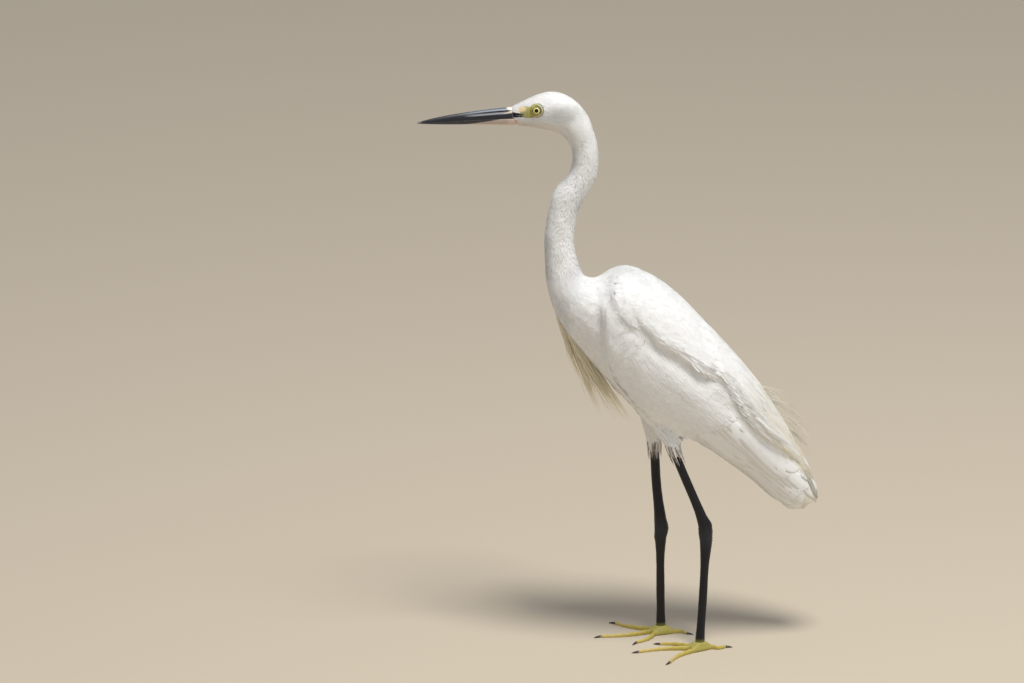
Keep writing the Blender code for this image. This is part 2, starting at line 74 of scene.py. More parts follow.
# Folds between groups of feathers: x and z from the lowest corner of a wing, and the depth there.
# Each runs towards the tail or down, and the feathers on its left hang over it.
FOLDS = {
    "scapulars": (
        (28, 198, 0.8), (33, 183, 2.0), (40, 176, 3.2), (45, 168, 3.0), (61, 158, 4.0), (72, 149, 3.4),
        (84, 139, 3.0), (97, 132, 3.4), (105, 130, 3.6), (112, 118, 3.0), (119, 105, 2.6), (131, 88, 2.5),
        (145, 72, 3.0), (154, 64, 3.0), (164, 55, 2.5), (171, 51, 1.0),
    ),
    "plumes": (
        (68, 200, 0.5), (87, 179, 1.0), (92, 169, 1.5), (95, 161, 1.6), (98, 149, 1.6), (101, 133, 2.5),
    ),
    "wing_front": (
        (-1, 207, 1.0), (-2, 199, 1.9), (-2, 192, 1.7), (-1, 179, 1.2), (0, 166, 0.8), (3, 154, 0.3),
    ),
    "notch": ((18, 213, 0.4), (18, 206, 0.9), (16, 199, 0.4)),
    "pocket": ((13, 166, 0.4), (16, 176, 0.6), (22, 179, 0.5), (30, 181, 0.3)),
    "coverts": ((34, 167, 0.6), (28, 156, 0.8), (22, 142, 0.4)),
    "wrist": ((27, 169, 0.5), (18, 155, 0.7), (12, 145, 0.4)),
    "tertials": ((116, 106, 0.6), (121, 93, 1.0), (126, 78, 1.0), (133, 63, 0.6)),
    "wing_tip": ((154, 49, 0.7), (158, 38, 0.9), (163, 31, 0.9), (174, 27, 0.7)),
    "cleft": ((184, 18, 1.0), (188, 7, 2.0), (187, -1, 2.0)),
}
WING_EDGE = ((2, 160), (9, 143), (22, 120), (34, 99), (46, 84))  # where the front edge lies on the belly
FOLD_WIDTH = (2.5, 5.6)  # of the steep side above and of the easy side below
COVERT_FAN = (36.0, 186.0)  # where the coverts spread from, from the same corner

# The face, in millimetres from the middle of the eyeball: forwards is -x.
LID = {"inner": 3.3, "outer": 6.6, "height": 0.35}
PUPIL, IRIS = 1.75, 2.9
FACE_HALF = 3.0  # half of the width of forehead and chin between the bare sides
LID_FOLDS = (4.15, 5.85)
EYE_SIDES = 48
EYE_AIM = (-0.14, 0.97, 0.20)  # for the right eye; y is mirrored for the left one

WHITE = np.array((0.86, 0.855, 0.83))
CREAM = np.array((0.83, 0.76, 0.58))
BLACK = np.array((0.012, 0.012, 0.016))
# Tinges of the coat: painted warm bounce light and shade on the rear of the wings, painted shade on the
# neck, painted warm bounce light under the chin, painted shade on the cheek, and the brown ends of the
# thighs.
WING_REAR_BOUNCE_SHADE, NECK_SHADE, CHIN_BOUNCE = (0.72, 0.66, 0.51), (0.62, 0.63, 0.63), (0.82, 0.68, 0.51)
CHEEK_SHADE, BROWN = (0.50, 0.51, 0.47), (0.28, 0.19, 0.11)
# The bare face: lore, its front, its corner by the bill, the gape, the lids behind and below.
LORE = np.array((0.42, 0.38, 0.11))
LORE_FRONT, LORE_PALE, ORANGE = (0.30, 0.29, 0.16), (0.80, 0.68, 0.44), (0.80, 0.50, 0.24)
GAPE, LID_HIND, LID_LOW = (0.80, 0.74, 0.60), (0.62, 0.62, 0.40), (0.62, 0.52, 0.46)
PINK, PINK_LOW = (0.66, 0.48, 0.41), (0.72, 0.58, 0.40)
# The bill: painted sheen on the ridge, a painted highlight streak by the groove, base, edge of the
# feathers, lower half and tip.
RIDGE_SHEEN, BILL_HIGHLIGHT, BASE = (0.10, 0.12, 0.16), (0.34, 0.34, 0.36), (0.66, 0.58, 0.44)
BILL_EDGE, HORN, HORN_LOW = (0.80, 0.75, 0.64), (0.50, 0.40, 0.34), (0.64, 0.50, 0.34)
WORN_TIP = (0.30, 0.29, 0.28)
# Iris and its rays, painted sheen on the hocks, ankles, toes, their ends and their roots, and roots of
# the claws.
LEMON, LEMON_RAY = (0.80, 0.70, 0.26), (0.62, 0.50, 0.12)
HOCK_SHEEN, ANKLE, CLAW_ROOT = (0.022, 0.026, 0.032), (0.16, 0.15, 0.03), (0.10, 0.08, 0.05)
TOE, TOE_END, TOE_ROOT = (0.52, 0.42, 0.09), (0.62, 0.48, 0.14), (0.34, 0.32, 0.08)


# ---------------------------------------------------------------- small helpers
def unit(v):
    return v / np.maximum(np.linalg.norm(v, axis=-1, keepdims=True), 1e-9)


def smooth_step(x, low, high):
    t = np.clip((x - low) / (high - low), 0, 1)
    return t * t * (3 - 2 * t)


def fade(x, low, high):
    """1 below low, and 0 above high."""
    return 1 - smooth_step(x, low, high)


def bell(x, width):
    return np.exp(-((x / width) ** 2))


def plain(colour, count):
    """One colour in so many rows."""
    return np.tile(colour, (count, 1))


def flattened(runs, normals):
    """The part of each run that is square to its normal."""
    return runs - normals * (runs * normals).sum(-1, keepdims=True)


def mix(a, b, share):
    """a where share is 0 and b where it is 1, row by row."""
    share = np.asarray(share)[..., None]
    return a * (1 - share) + b * share


def clumps(places, size, seed):
    """Smooth random numbers, -1 to 1, that change over a distance of size."""
    cells = 32
    table = np.random.default_rng(seed).uniform(-1, 1, (cells, cells, cells))
    base = np.floor(places / size).astype(int)
    part = places / size - base
    part = part * part * (3 - 2 * part)
    value = np.zeros(len(places))
    for corner in np.ndindex(2, 2, 2):
        weight = np.prod(np.where(corner, part, 1 - part), axis=1)
        value += weight * table[tuple(((base + corner) % cells).T)]
    return value


def box_mm(name):
    low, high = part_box(name)
    return np.array(low) / MM, np.array(high) / MM


def middle_mm(name):
    low, high = box_mm(name)
    return (low + high) / 2


def put(name, data):
    """A new object with its data, in the scene."""
    obj = bpy.data.objects.new(name, data)
    bpy.context.scene.collection.objects.link(obj)
    return obj


def mesh_arrays(mesh):
    """The points (mm) and triangles of a mesh."""
    mesh.calc_loop_triangles()
    points = np.empty(len(mesh.vertices) * 3)
    mesh.vertices.foreach_get("co", points)
    faces = np.empty(len(mesh.loop_triangles) * 3, np.int32)
    mesh.loop_triangles.foreach_get("vertices", faces)
    return points.reshape(-1, 3) / MM, faces.reshape(-1, 3)


def polyline(x, z, line):
    """Signed distance in the side view from a line of (x, z) points, and the place along it.

    The distance is positive on the left of the line's way, and the place counts its points.
    """
    line = np.asarray(line, float)
    near, side, place = np.full(len(x), 1e9), np.zeros(len(x)), np.zeros(len(x))
    for i, (a, b) in enumerate(zip(line, line[1:])):
        run = b - a
        share = np.clip(((x - a[0]) * run[0] + (z - a[1]) * run[1]) / (run @ run), 0, 1)
        dx, dz = x - a[0] - share * run[0], z - a[1] - share * run[1]
        far = np.hypot(dx, dz)
        left = run[0] * (z - a[1]) - run[1] * (x - a[0])
        take = far < near
        near[take], side[take], place[take] = far[take], left[take], (i + share)[take]
    return near * np.where(side < 0, -1, 1), place


def without_loose_plumes(points):
    """Presses what stands off the back's ridge into the cape, as strands are made for it."""
    low, _ = box_mm("cape")
    ridge = np.array(RIDGE) + low[[0, 2]]
    off, place = polyline(points[:, 0], points[:, 2], ridge)
    run = np.diff(ridge, axis=0)[np.minimum(place.astype(int), len(ridge) - 2)]
    outwards = unit(np.stack([-run[:, 1], run[:, 0]], axis=1))
    loose = (off > 0.6) & (points[:, 0] > ridge[1, 0])
    points = points.copy()
    points[:, [0, 2]] -= outwards * np.where(loose, off + 1.4, 0)[:, None]
    return points


def node_arrays(*names):
    """Points and triangles of some CAD nodes together, with points that share a place merged."""
    points, faces, count = [], [], 0
    for name in names:
        p, f = mesh_arrays(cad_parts[name].data)
        if name == "cape":
            p = without_loose_plumes(p)
        _, first, index = np.unique(np.round(p, 2), axis=0, return_index=True, return_inverse=True)
        points.append(p[first])
        faces.append(index.reshape(-1)[f] + count)
        count += len(first)
    return np.concatenate(points), np.concatenate(faces)


def vertex_normals(points, faces):
    a, b, c = (points[faces[:, i]] for i in range(3))
    across = np.cross(b - a, c - a)
    total = np.zeros_like(points)
    for i in range(3):
        for j in range(3):
            total[:, j] += np.bincount(faces[:, i], across[:, j], len(points))
    return unit(total)


def edges_of(faces):
    pairs = np.concatenate([faces[:, [0, 1]], faces[:, [1, 2]], faces[:, [2, 0]]])
    return np.unique(np.sort(pairs, axis=1), axis=0)


def relax(values, edges, rounds, share=0.5, fixed=None):
    """Moves each row of values towards the mean of its neighbours', again and again."""
    both = np.concatenate([edges, edges[:, ::-1]])
    count = np.maximum(np.bincount(both[:, 0], minlength=len(values)), 1)
    values = values.copy()
    for _ in range(rounds):
        near = np.stack(
            [np.bincount(both[:, 0], values[both[:, 1], j], len(values)) for j in range(values.shape[1])],
            axis=1,
        )
        step = (near / count[:, None] - values) * share
        if fixed is not None:
            step[fixed] = 0
        values += step
    return values


def biggest_body(points, faces):
    """Leaves only the connected body with the largest box, so that closed hollows inside go."""
    edges = edges_of(faces)
    label = np.arange(len(points))
    while True:
        low = label.copy()
        np.minimum.at(low, edges[:, 0], label[edges[:, 1]])
        np.minimum.at(low, edges[:, 1], label[edges[:, 0]])
        low = low[low]
        if (low == label).all():
            break
        label = low
    bodies = np.unique(label)
    spans = [np.ptp(points[label == b], axis=0).sum() for b in bodies]
    keep = label == bodies[int(np.argmax(spans))]
    index = np.cumsum(keep) - 1
    return points[keep], index[faces[keep[faces[:, 0]]]]


def voxel_shell(points, faces, size):
    """One even surface round closed bodies that touch or nearly touch."""
    mesh = bpy.data.meshes.new("shell")
    mesh.from_pydata((points * MM).tolist(), [], faces.tolist())
    obj = put("shell", mesh)
    step = obj.modifiers.new("remesh", "REMESH")
    step.mode = "VOXEL"
    step.voxel_size = size * MM
    graph = bpy.context.evaluated_depsgraph_get()
    made = mesh_arrays(obj.evaluated_get(graph).to_mesh())
    bpy.data.objects.remove(obj)
    bpy.data.meshes.remove(mesh)
    return biggest_body(*made)


def even_surface(nodes, size=VOXEL, bridge=BRIDGE):
    """A smooth surface at the outline of some nodes, with the slits between them bridged."""
    points, faces = voxel_shell(*node_arrays(*nodes), size)
    if bridge:
        points, faces = voxel_shell(points + vertex_normals(points, faces) * bridge, faces, size)
        points = points - vertex_normals(points, faces) * bridge
    return relax(points, edges_of(faces), 6), faces


def eased(points, faces):
    """Evens out the steps where the cape starts from the neck, under a wing's edge and at its tip."""
    edges = edges_of(faces)
    low, high = box_mm("cape")
    front = np.array((low[0] + 2.0, MID_Y, high[2] - 5.0))
    far = np.linalg.norm((points - front) * (1.0, 0.5, 1.0), axis=1)
    points = relax(points, edges, 30, 0.6, far > 18.0)
    low, high = box_mm("wing_left")
    off, _ = polyline(points[:, 0] - low[0], points[:, 2] - low[2], WING_EDGE)
    points = relax(points, edges, 30, 0.6, (np.abs(off) > 7.0) | (aside(points) < 8.0))
    tip = np.array((high[0] - 4.0, MID_Y, low[2] + 6.0))
    far = np.linalg.norm((points - tip) * (1.0, 0.3, 1.0), axis=1)
    return relax(points, edges, 30, 0.6, far > 20.0)


class Surface:
    """A triangle surface that answers where its nearest point is, and what lies there."""

    def __init__(self, points, faces, lie=None):
        self.points, self.faces, self.lie = points, faces, lie
        self.normals = vertex_normals(points, faces)
        self.flat = np.ones(len(points))
        self.tree = BVHTree.FromPolygons(points.tolist(), faces.tolist())
        self.uv = None

    def nearest(self, places):
        hits = [self.tree.find_nearest(p) for p in places.reshape(-1, 3).tolist()]
        place = np.array([h[0] for h in hits])
        face = np.array([h[2] for h in hits])
        return place, face

    def weights(self, place, face):
        """Shares of a triangle's three corners at a place in it."""
        a, b, c = (self.points[self.faces[face, i]] for i in range(3))
        v0, v1, v2 = b - a, c - a, place - a
        d00, d01, d11 = (v0 * v0).sum(1), (v0 * v1).sum(1), (v1 * v1).sum(1)
        d20, d21 = (v2 * v0).sum(1), (v2 * v1).sum(1)
        size = np.maximum(d00 * d11 - d01 * d01, 1e-12)
        v = np.clip((d11 * d20 - d01 * d21) / size, 0, 1)
        w = np.clip((d00 * d21 - d01 * d20) / size, 0, 1)
        return np.stack([np.clip(1 - v - w, 0, 1), v, w], axis=1)

    def read(self, values, place, face):
        return np.einsum("nk,nkj->nj", self.weights(place, face), values[self.faces[face]])

    def soften(self, rounds):
        """Evens out the normals, and marks how flat the surface is round each point."""
        even = relax(self.normals, edges_of(self.faces), rounds, 0.8)
        self.flat = np.linalg.norm(even, axis=1)
        self.normals = unit(even)

    def at(self, places):
        """Nearest place, unit normal and lie of the coat there."""
        place, face = self.nearest(places)
        normal = unit(self.read(self.normals, place, face))
        lie = self.read(self.lie, place, face)
        return place, normal, unit(flattened(lie, normal))

    def hit(self, starts, way):
        """Where rays in one direction meet the surface, on which triangle, and which rays do."""
        hits = [self.tree.ray_cast(p, way) for p in starts.tolist()]
        met = np.array([h[0] is not None for h in hits])
        places = np.array([h[0] if h[0] is not None else (0, 0, 0) for h in hits])
        return places, np.array([h[2] or 0 for h in hits]), met

    def scatter(self, density, rng):
        """Random places on the surface, so many per square millimetre at each triangle."""
        a, b, c = (self.points[self.faces[:, i]] for i in range(3))
        area = np.linalg.norm(np.cross(b - a, c - a), axis=1) / 2
        total = np.cumsum(area * density)
        face = np.searchsorted(total, (np.arange(int(total[-1])) + rng.random(int(total[-1]))))
        face = np.minimum(face, len(self.faces) - 1)
        u, v = rng.random(len(face)), rng.random(len(face))
        turn = u + v > 1
        u[turn], v[turn] = 1 - u[turn], 1 - v[turn]
        return a[face] + (b[face] - a[face]) * u[:, None] + (c[face] - a[face]) * v[:, None]


def section(points, faces, axis, place):
    """The points where a mesh's edges cross the plane at a place along one axis."""
    edges = edges_of(faces)
    a, b = points[edges[:, 0]], points[edges[:, 1]]
    da, db = a[:, axis] - place, b[:, axis] - place
    cut = (da * db < 0) | (da == 0)
    share = da[cut] / np.where(da[cut] == db[cut], 1, da[cut] - db[cut])
    return a[cut] + (b[cut] - a[cut]) * share[:, None]


# ---------------------------------------------------------------- pieces
def add_mesh(name, points, faces, material, tint=None, uv=None, smooth=True, replaces=()):
    """A piece from points (mm) and triangles, with a colour for each point and its place on the map."""
    mesh = bpy.data.meshes.new(name)
    mesh.vertices.add(len(points))
    mesh.vertices.foreach_set("co", (points * MM).astype(np.float32).ravel())
    mesh.loops.add(faces.size)
    mesh.loops.foreach_set("vertex_index", faces.astype(np.int32).ravel())
    mesh.polygons.add(len(faces))
    mesh.polygons.foreach_set("loop_start", np.arange(0, faces.size, 3, dtype=np.int32))
    mesh.update(calc_edges=True)
    mesh.polygons.foreach_set("use_smooth", np.array(np.broadcast_to(smooth, len(faces)), bool))
    if tint is not None:
        colours = mesh.color_attributes.new("tint", "FLOAT_COLOR", "POINT")
        rows = np.concatenate([tint, np.ones((len(points), 1))], axis=1)
        colours.data.foreach_set("color", rows.astype(np.float32).ravel())
    if uv is not None:
        layer = mesh.uv_layers.new(name="OFBake")
        layer.data.foreach_set("uv", uv[faces.ravel()].astype(np.float32).ravel())
    mesh.materials.append(material)
    obj = put(name, mesh)
    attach(obj, "root")
    if replaces:
        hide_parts(*replaces)
    return obj


def tube(rings):
    """Points and triangles of a closed body through rings of equally many points."""
    rings = np.asarray(rings)
    rows, count = rings.shape[:2]
    grid = np.arange(rows * count).reshape(rows, count)
    beside = np.roll(grid, -1, axis=1)
    a, b, c, d = grid[:-1], beside[:-1], beside[1:], grid[1:]
    sides = np.concatenate([np.stack([a, b, c], -1), np.stack([a, c, d], -1)]).reshape(-1, 3)
    ends = rings[[0, -1]].mean(axis=1)
    first, last = rows * count, rows * count + 1
    caps = [np.stack([np.full(count, first), beside[0], grid[0]], -1)]
    caps.append(np.stack([np.full(count, last), grid[-1], beside[-1]], -1))
    points = np.concatenate([rings.reshape(-1, 3), ends])
    faces = np.concatenate([sides, *caps])
    a, b, c = (points[faces[:, i]] for i in range(3))
    volume = np.einsum("ni,ni->n", a, np.cross(b, c)).sum()
    return points, faces if volume > 0 else faces[:, ::-1]


# ---------------------------------------------------------------- materials
class Nodes:
    """A material whose nodes are added by short calls."""

    def __init__(self, name, roughness):
        self.material = bpy.data.materials.new(name)
        self.material.use_nodes = True
        self.tree = self.material.node_tree
        self.shader = self.tree.nodes["Principled BSDF"]
        self.set(self.shader, Roughness=roughness)

    def set(self, node, **values):
        for key, value in values.items():
            socket = node.inputs[key.replace("_", " ")]
            if isinstance(value, bpy.types.NodeSocket):
                self.tree.links.new(value, socket)
            else:
                socket.default_value = value

    def add(self, kind, settings=None, **values):
        node = self.tree.nodes.new("ShaderNode" + kind)
        for key, value in (settings or {}).items():
            setattr(node, key, value)
        self.set(node, **values)
        return node

    def place(self):
        return self.add("TexCoord").outputs["Object"]

    def tint(self):
        return self.add("Attribute", {"attribute_name": "tint"}).outputs["Color"]

    def noise(self, scale, detail=4.0, stretch=None):
        where = self.place()
        if stretch:
            where = self.add("Mapping", Vector=where, Scale=stretch).outputs["Vector"]
        return self.add("TexNoise", Vector=where, Scale=scale, Detail=detail).outputs["Fac"]

    def scaled(self, value, low, high):
        node = self.add("MapRange", Value=value)
        self.set(node, To_Min=low, To_Max=high)
        return node.outputs["Result"]

    def shaded(self, colour, share):
        """The colour times a number."""
        node = self.add("VectorMath", {"operation": "SCALE"})
        self.tree.links.new(colour, node.inputs[0])
        self.tree.links.new(share, node.inputs["Scale"])
        return node.outputs["Vector"]

    def bump(self, height, strength, distance):
        node = self.add("Bump", Height=height, Strength=strength, Distance=distance * MM)
        self.set(self.shader, Normal=node.outputs["Normal"])

    def finish(self, colour):
        self.set(self.shader, Base_Color=colour)
        return self.material


def coat_material():
    made = Nodes("feather", 0.62)
    made.set(made.shader, Sheen_Weight=0.12, Sheen_Roughness=0.4, Specular_IOR_Level=0.3)
    speckle = made.scaled(made.noise(260.0, 3.0), 0.955, 1.035)
    made.bump(made.noise(2200.0, 2.0), 0.25, 0.15)
    return made.finish(made.shaded(made.tint(), speckle))


def skin_material():
    made = Nodes("skin", 0.6)
    made.set(made.shader, Specular_IOR_Level=0.35)
    grain = made.add("TexVoronoi", Vector=made.place(), Scale=1500.0).outputs["Distance"]
    made.bump(grain, 0.35, 0.09)
    return made.finish(made.shaded(made.tint(), made.scaled(made.noise(900.0), 0.86, 1.1)))


def horn_material(name, roughness, streaks):
    made = Nodes(name, roughness)
    made.set(made.shader, Coat_Weight=0.25, Coat_Roughness=0.25)
    wear = made.noise(160.0, 6.0, (0.12, 1.0, 1.0) if streaks else None)
    made.set(made.shader, Roughness=made.scaled(wear, roughness - 0.12, roughness + 0.14))
    made.bump(wear, 0.35, 0.12)
    return made.finish(made.shaded(made.tint(), made.scaled(wear, 0.75, 1.3)))


def scale_material(name, roughness):
    made = Nodes(name, roughness)
    cells = made.add("TexVoronoi", {"feature": "DISTANCE_TO_EDGE"}, Vector=made.place(), Scale=1100.0)
    made.set(made.shader, Specular_IOR_Level=0.35)
    made.bump(made.scaled(cells.outputs["Distance"], 0.0, 1.6), 0.5, 0.14)
    return made.finish(made.shaded(made.tint(), made.scaled(made.noise(420.0), 0.75, 1.25)))


def eye_material():
    made = Nodes("eye", 0.22)
    made.set(made.shader, Coat_Weight=0.8, Coat_Roughness=0.02, Coat_IOR=1.34, Specular_IOR_Level=0.15)
    return made.finish(made.shaded(made.tint(), made.scaled(made.noise(2600.0, 3.0), 0.85, 1.15)))


# ---------------------------------------------------------------- the line of the body
def junction(one, two, reach=2.0):
    """Middle and direction of the ring where node two begins against node one."""
    a, b = node_arrays(*one)[0], node_arrays(two)[0]
    gap = np.min(np.linalg.norm(b[:, None] - a[None], axis=2), axis=1)
    ring = b[gap < reach]
    middle = ring.mean(axis=0)
    normal = np.linalg.svd(ring - middle)[2][2]
    return middle, normal * np.sign((b.mean(axis=0) - middle) @ normal)


def body_line():
    """A smooth line from the base of the bill through head and neck to the end of the trunk."""
    knots = [junction(("bill_upper", "bill_lower"), "head")]
    knots += [junction((a,), b, 0.9) for a, b in zip(BODY_CHAIN, BODY_CHAIN[1:])]
    trunk = node_arrays("trunk")[0]
    tip = trunk[np.argmax(trunk[:, 0])]
    knots.append((tip, unit(tip - trunk.mean(axis=0))))
    line = []
    for (p, m), (q, n) in zip(knots, knots[1:]):
        reach = np.linalg.norm(q - p)
        t = np.linspace(0, 1, 40, endpoint=False)[:, None]
        line.append(
            (2 * t**3 - 3 * t**2 + 1) * p
            + (t**3 - 2 * t**2 + t) * m * reach
            + (3 * t**2 - 2 * t**3) * q
            + (t**3 - t**2) * n * reach
        )
    return np.concatenate([*line, [knots[-1][0]]])


LINE = body_line()
LINE_RUN = unit(np.gradient(LINE, axis=0))
LINE_AT = np.concatenate([[0], np.cumsum(np.linalg.norm(np.diff(LINE, axis=0), axis=1))])


def along_line(places):
    """How far down the body's line each place is (mm), and the line's direction there."""
    near, chunk = np.empty(len(places), int), 20000
    for i in range(0, len(places), chunk):
        part = places[i : i + chunk]
        near[i : i + chunk] = np.argmin(((part[:, None] - LINE[None]) ** 2).sum(2), axis=1)
    return LINE_AT[near], LINE_RUN[near]


def long_axis(name):
    """Direction of a node's greatest length in the vertical plane, towards the tail."""
    points = node_arrays(name)[0]
    points = points - points.mean(axis=0)
    points[:, 1] = 0
    axis = np.linalg.svd(points, full_matrices=False)[2][0]
    return axis * (1 if axis[0] > 0 else -1)


EYES = {side: middle_mm(f"eye_{side}") for side in SIDES}
EYE_RADIUS = float(np.ptp(box_mm("eye_left"), axis=0)[2] / 2)
MID_Y = (EYES["left"][1] + EYES["right"][1]) / 2
AIMS = {side: unit(np.array(EYE_AIM) * (1, sign, 1)) for side, sign in SIDES.items()}


def aside(places):
    """How far each place is from the middle of the bird."""
    return np.abs(places[:, 1] - MID_Y)


def from_eye(places):
    """Each place seen from the eye on its own side: (x, z) from its middle, mm."""
    eye = EYES["left"]
    return places[:, 0] - eye[0], places[:, 2] - eye[2]


def from_aim(places):
    """Distance from the axis of the nearer eye, and height along it."""
    found = []
    for side in SIDES:
        off = places - EYES[side]
        height = off @ AIMS[side]
        radius = np.linalg.norm(off - height[:, None] * AIMS[side], axis=1)
        found.append((np.where(height > 0, radius, 99.0), height))
    (radius, height), (other, other_height) = found
    nearer = other < radius
    return np.where(nearer, other, radius), np.where(nearer, other_height, height)


def segment_distance(x, z, start, end):
    """Distance in the side view from a line between two points, and the share along it."""
    run = np.array(end) - np.array(start)
    share = np.clip(((x - start[0]) * run[0] + (z - start[1]) * run[1]) / (run @ run), 0, 1)
    return np.hypot(x - start[0] - share * run[0], z - start[1] - share * run[1]), share


def bare_share(places):
    """1 where the face is bare: the lore, the ring round the eye and the sides of the chin."""
    x, z = from_eye(places)
    radius, _ = from_aim(places)
    lore = (np.abs((x + 8.8) / 8.3) ** 2.6 + np.abs((z + 1.8) / 5.3) ** 2.6) ** (1 / 2.6)
    lore = fade(lore + 0.04 * clumps(places, 1.5, 6), 0.90, 1.02)
    ring = fade(radius, LID["outer"] - 0.5, LID["outer"] + 0.2)
    side = aside(places) > FACE_HALF
    chin = fade(x, -16.5, -14.5) * fade(z, -9.4, -8.4)
    return np.maximum(np.maximum(lore, ring) * side, chin)


def face_colour(places):
    """The colour of the bare lore, the lids and the corner of the mouth."""
    x, z = from_eye(places)
    radius, _ = from_aim(places)
    lore = plain(LORE, len(places))
    lore = mix(lore, LORE * 0.5, 0.8 * smooth_step(clumps(places, 0.8, 7), 0.15, 0.6))
    lore = mix(lore, LORE_FRONT, 0.75 * fade(x, -11.5, -7.5))
    spot = np.hypot((x + 12.9) / 3.6, (z - 0.5) / 2.3)
    pale = np.hypot((x + 13.8) / 5.0, (z - 1.4) / 3.0)
    lore = mix(lore, LORE_PALE, 0.8 * fade(pale, 0.6, 1.2))
    lore = mix(lore, ORANGE, 0.75 * fade(spot, 0.15, 1.05))
    wedge, _ = segment_distance(x, z, (-22.0, -1.6), (-15.2, -2.2))
    lore = mix(lore, GAPE, 0.9 * fade(wedge, 0.5, 1.3))
    behind = smooth_step(x, -0.5, 2.5)
    lore = mix(lore, LID_HIND, 0.8 * behind * smooth_step(radius, 4.3, 5.0))
    below = smooth_step(x + 0.7 * z, 0.2, 2.8)
    # Painted shade in the lid folds: the inner fold below the eye, the outer fold behind it.
    for ring, wide, hind in zip(LID_FOLDS, (0.55, 0.35), (below, behind)):
        fold = fade(np.abs(radius - ring), wide * 0.4, wide * 1.4)
        lore = mix(lore, BLACK * 2.5, 0.9 * hind * fold)
    low = np.hypot((x - 2.4) / 2.3, (z + 5.6) / 1.3)
    lore = mix(lore, LID_LOW, 0.9 * fade(low, 0.5, 1.1))
    corner = fade(np.hypot((x + 3.1) / 0.8, (z + 0.2) / 0.55), 0.5, 1.1)
    rim = fade(radius, LID["inner"] - 0.2, LID["inner"] + 0.1)
    lore = mix(lore, BLACK, np.maximum(corner, rim))
    chin = (x < -12.0) & (z < -8.0)
    pink = mix(plain(PINK, len(x)), PINK_LOW, fade(z, -13.6, -12.0))
    return np.where(chin[:, None], pink, lore)


def markings(places, skin=1.0):
    """The colour of the coat at each place, or of the skin with its bare face."""
    x, z = from_eye(places)
    down, _ = along_line(places)
    colour = plain(WHITE, len(places))
    cape_low, cape_high = box_mm("cape")
    rear = smooth_step(places[:, 0], cape_low[0] + 0.45 * (cape_high[0] - cape_low[0]), cape_high[0])
    colour = mix(colour, (WHITE + CREAM) / 2, 0.55 * rear)
    along = long_axis("wing_left")
    wing_low, wing_high = box_mm("wing_left")
    corners = np.array(((wing_low[0], 0, wing_high[2]), (wing_high[0], 0, wing_low[2]))) @ along
    # Painted warm bounce light and shade, darker and warmer towards the rear of the wings.
    rear_bounce_shade = smooth_step((places @ along - corners[0]) / (corners[1] - corners[0]), 0.42, 0.98)
    colour = mix(colour, WING_REAR_BOUNCE_SHADE, 0.62 * rear_bounce_shade)
    # Painted shade on the neck, in soft patches along it.
    neck_shade = smooth_step(clumps(places * (1.0, 1.0, 0.45), 11.0, 9), -0.6, 0.9)
    neck_shade = neck_shade * smooth_step(down, 60, 120) * fade(down, 215, 265)
    colour = mix(colour, NECK_SHADE, 0.5 * neck_shade)
    # Painted warm bounce light on the feathers under the chin.
    chin = fade(down, 8, 55) * smooth_step(-z, 9, 15)
    colour = mix(colour, CHIN_BOUNCE, 0.65 * chin)
    # Painted shade on the cheek behind the eye.
    cheek_shade = np.hypot((x - 22) / 20, (z + 2) / 9.0) + 0.12 * clumps(places, 4.0, 8)
    cheek_shade = fade(cheek_shade, 0.3, 1.15)
    colour = mix(colour, CHEEK_SHADE, 0.72 * cheek_shade)
    bare, face = bare_share(places) * skin, face_colour(places)
    for start, end, thick in (((-24, -4.4), (-11.2, -3.6), 1.5), ((-24, -6.2), (-11.2, -5.5), 1.0)):
        off, share = segment_distance(x, z, start, end)
        wide = thick * (1 - share) ** 0.5
        line = fade(off, wide * 0.8, wide + 0.25)
        line = line * (aside(places) > FACE_HALF)
        bare, face = np.maximum(bare, line), mix(face, BLACK, line)
    return mix(colour, face, bare)


# ---------------------------------------------------------------- skin
def region_of(places):
    """The name of the flesh node nearest to each place."""
    points, faces, owner = [], [], []
    for i, name in enumerate(FLESH):
        p, f = node_arrays(name)
        faces.append(f + sum(len(q) for q in points))
        points.append(p)
        owner.append(np.full(len(f), i))
    whole = Surface(np.concatenate(points), np.concatenate(faces))
    return np.concatenate(owner)[whole.nearest(places)[1]]


def relief(places):
    """How far folds and soft clumps of feathers move the outline in (-) or out at each place."""
    low, _ = box_mm("wing_left")
    x, z = places[:, 0] - low[0], places[:, 2] - low[2]
    out = np.zeros(len(places))
    flank = smooth_step(aside(places), 3.0, 9.0)
    for rows in FOLDS.values():
        rows = np.array(rows)
        off, at = polyline(x, z, rows[:, :2])
        depth = np.interp(at, np.arange(len(rows)), rows[:, 2])
        wide = np.where(off > 0, FOLD_WIDTH[0], FOLD_WIDTH[1]) * (0.6 + 0.2 * depth)
        out -= depth * bell(off, wide) * flank
        out += 0.22 * depth * bell(off - 2.6 * wide, 1.4 * wide) * flank
    along = long_axis("wing_left")
    over = np.array((-along[2], 0.0, along[0]))
    wing_way = np.stack([places @ along * 0.42, places @ over, places[:, 1] * 0.8], axis=1)
    down, _ = along_line(places)
    body = smooth_step(down, 210, 260)
    cape_low, cape_high = box_mm("cape")
    saddle = (places - (cape_low[0] - 14.0, MID_Y, cape_high[2] - 11.0)) * (1.0, 0.6, 1.0)
    out -= 2.2 * bell(np.linalg.norm(saddle, axis=1), 10.0)
    neck = 0.62 * clumps(places * (1.0, 1.0, 0.7), 8.5, 3) * smooth_step(down, 25, 60)
    trunk = 0.5 * clumps(wing_way, 11.0, 4) + 0.14 * clumps(wing_way, 5.0, 5)
    return out + mix_number(neck, trunk, body)


def mix_number(a, b, share):
    return a * (1 - share) + b * share


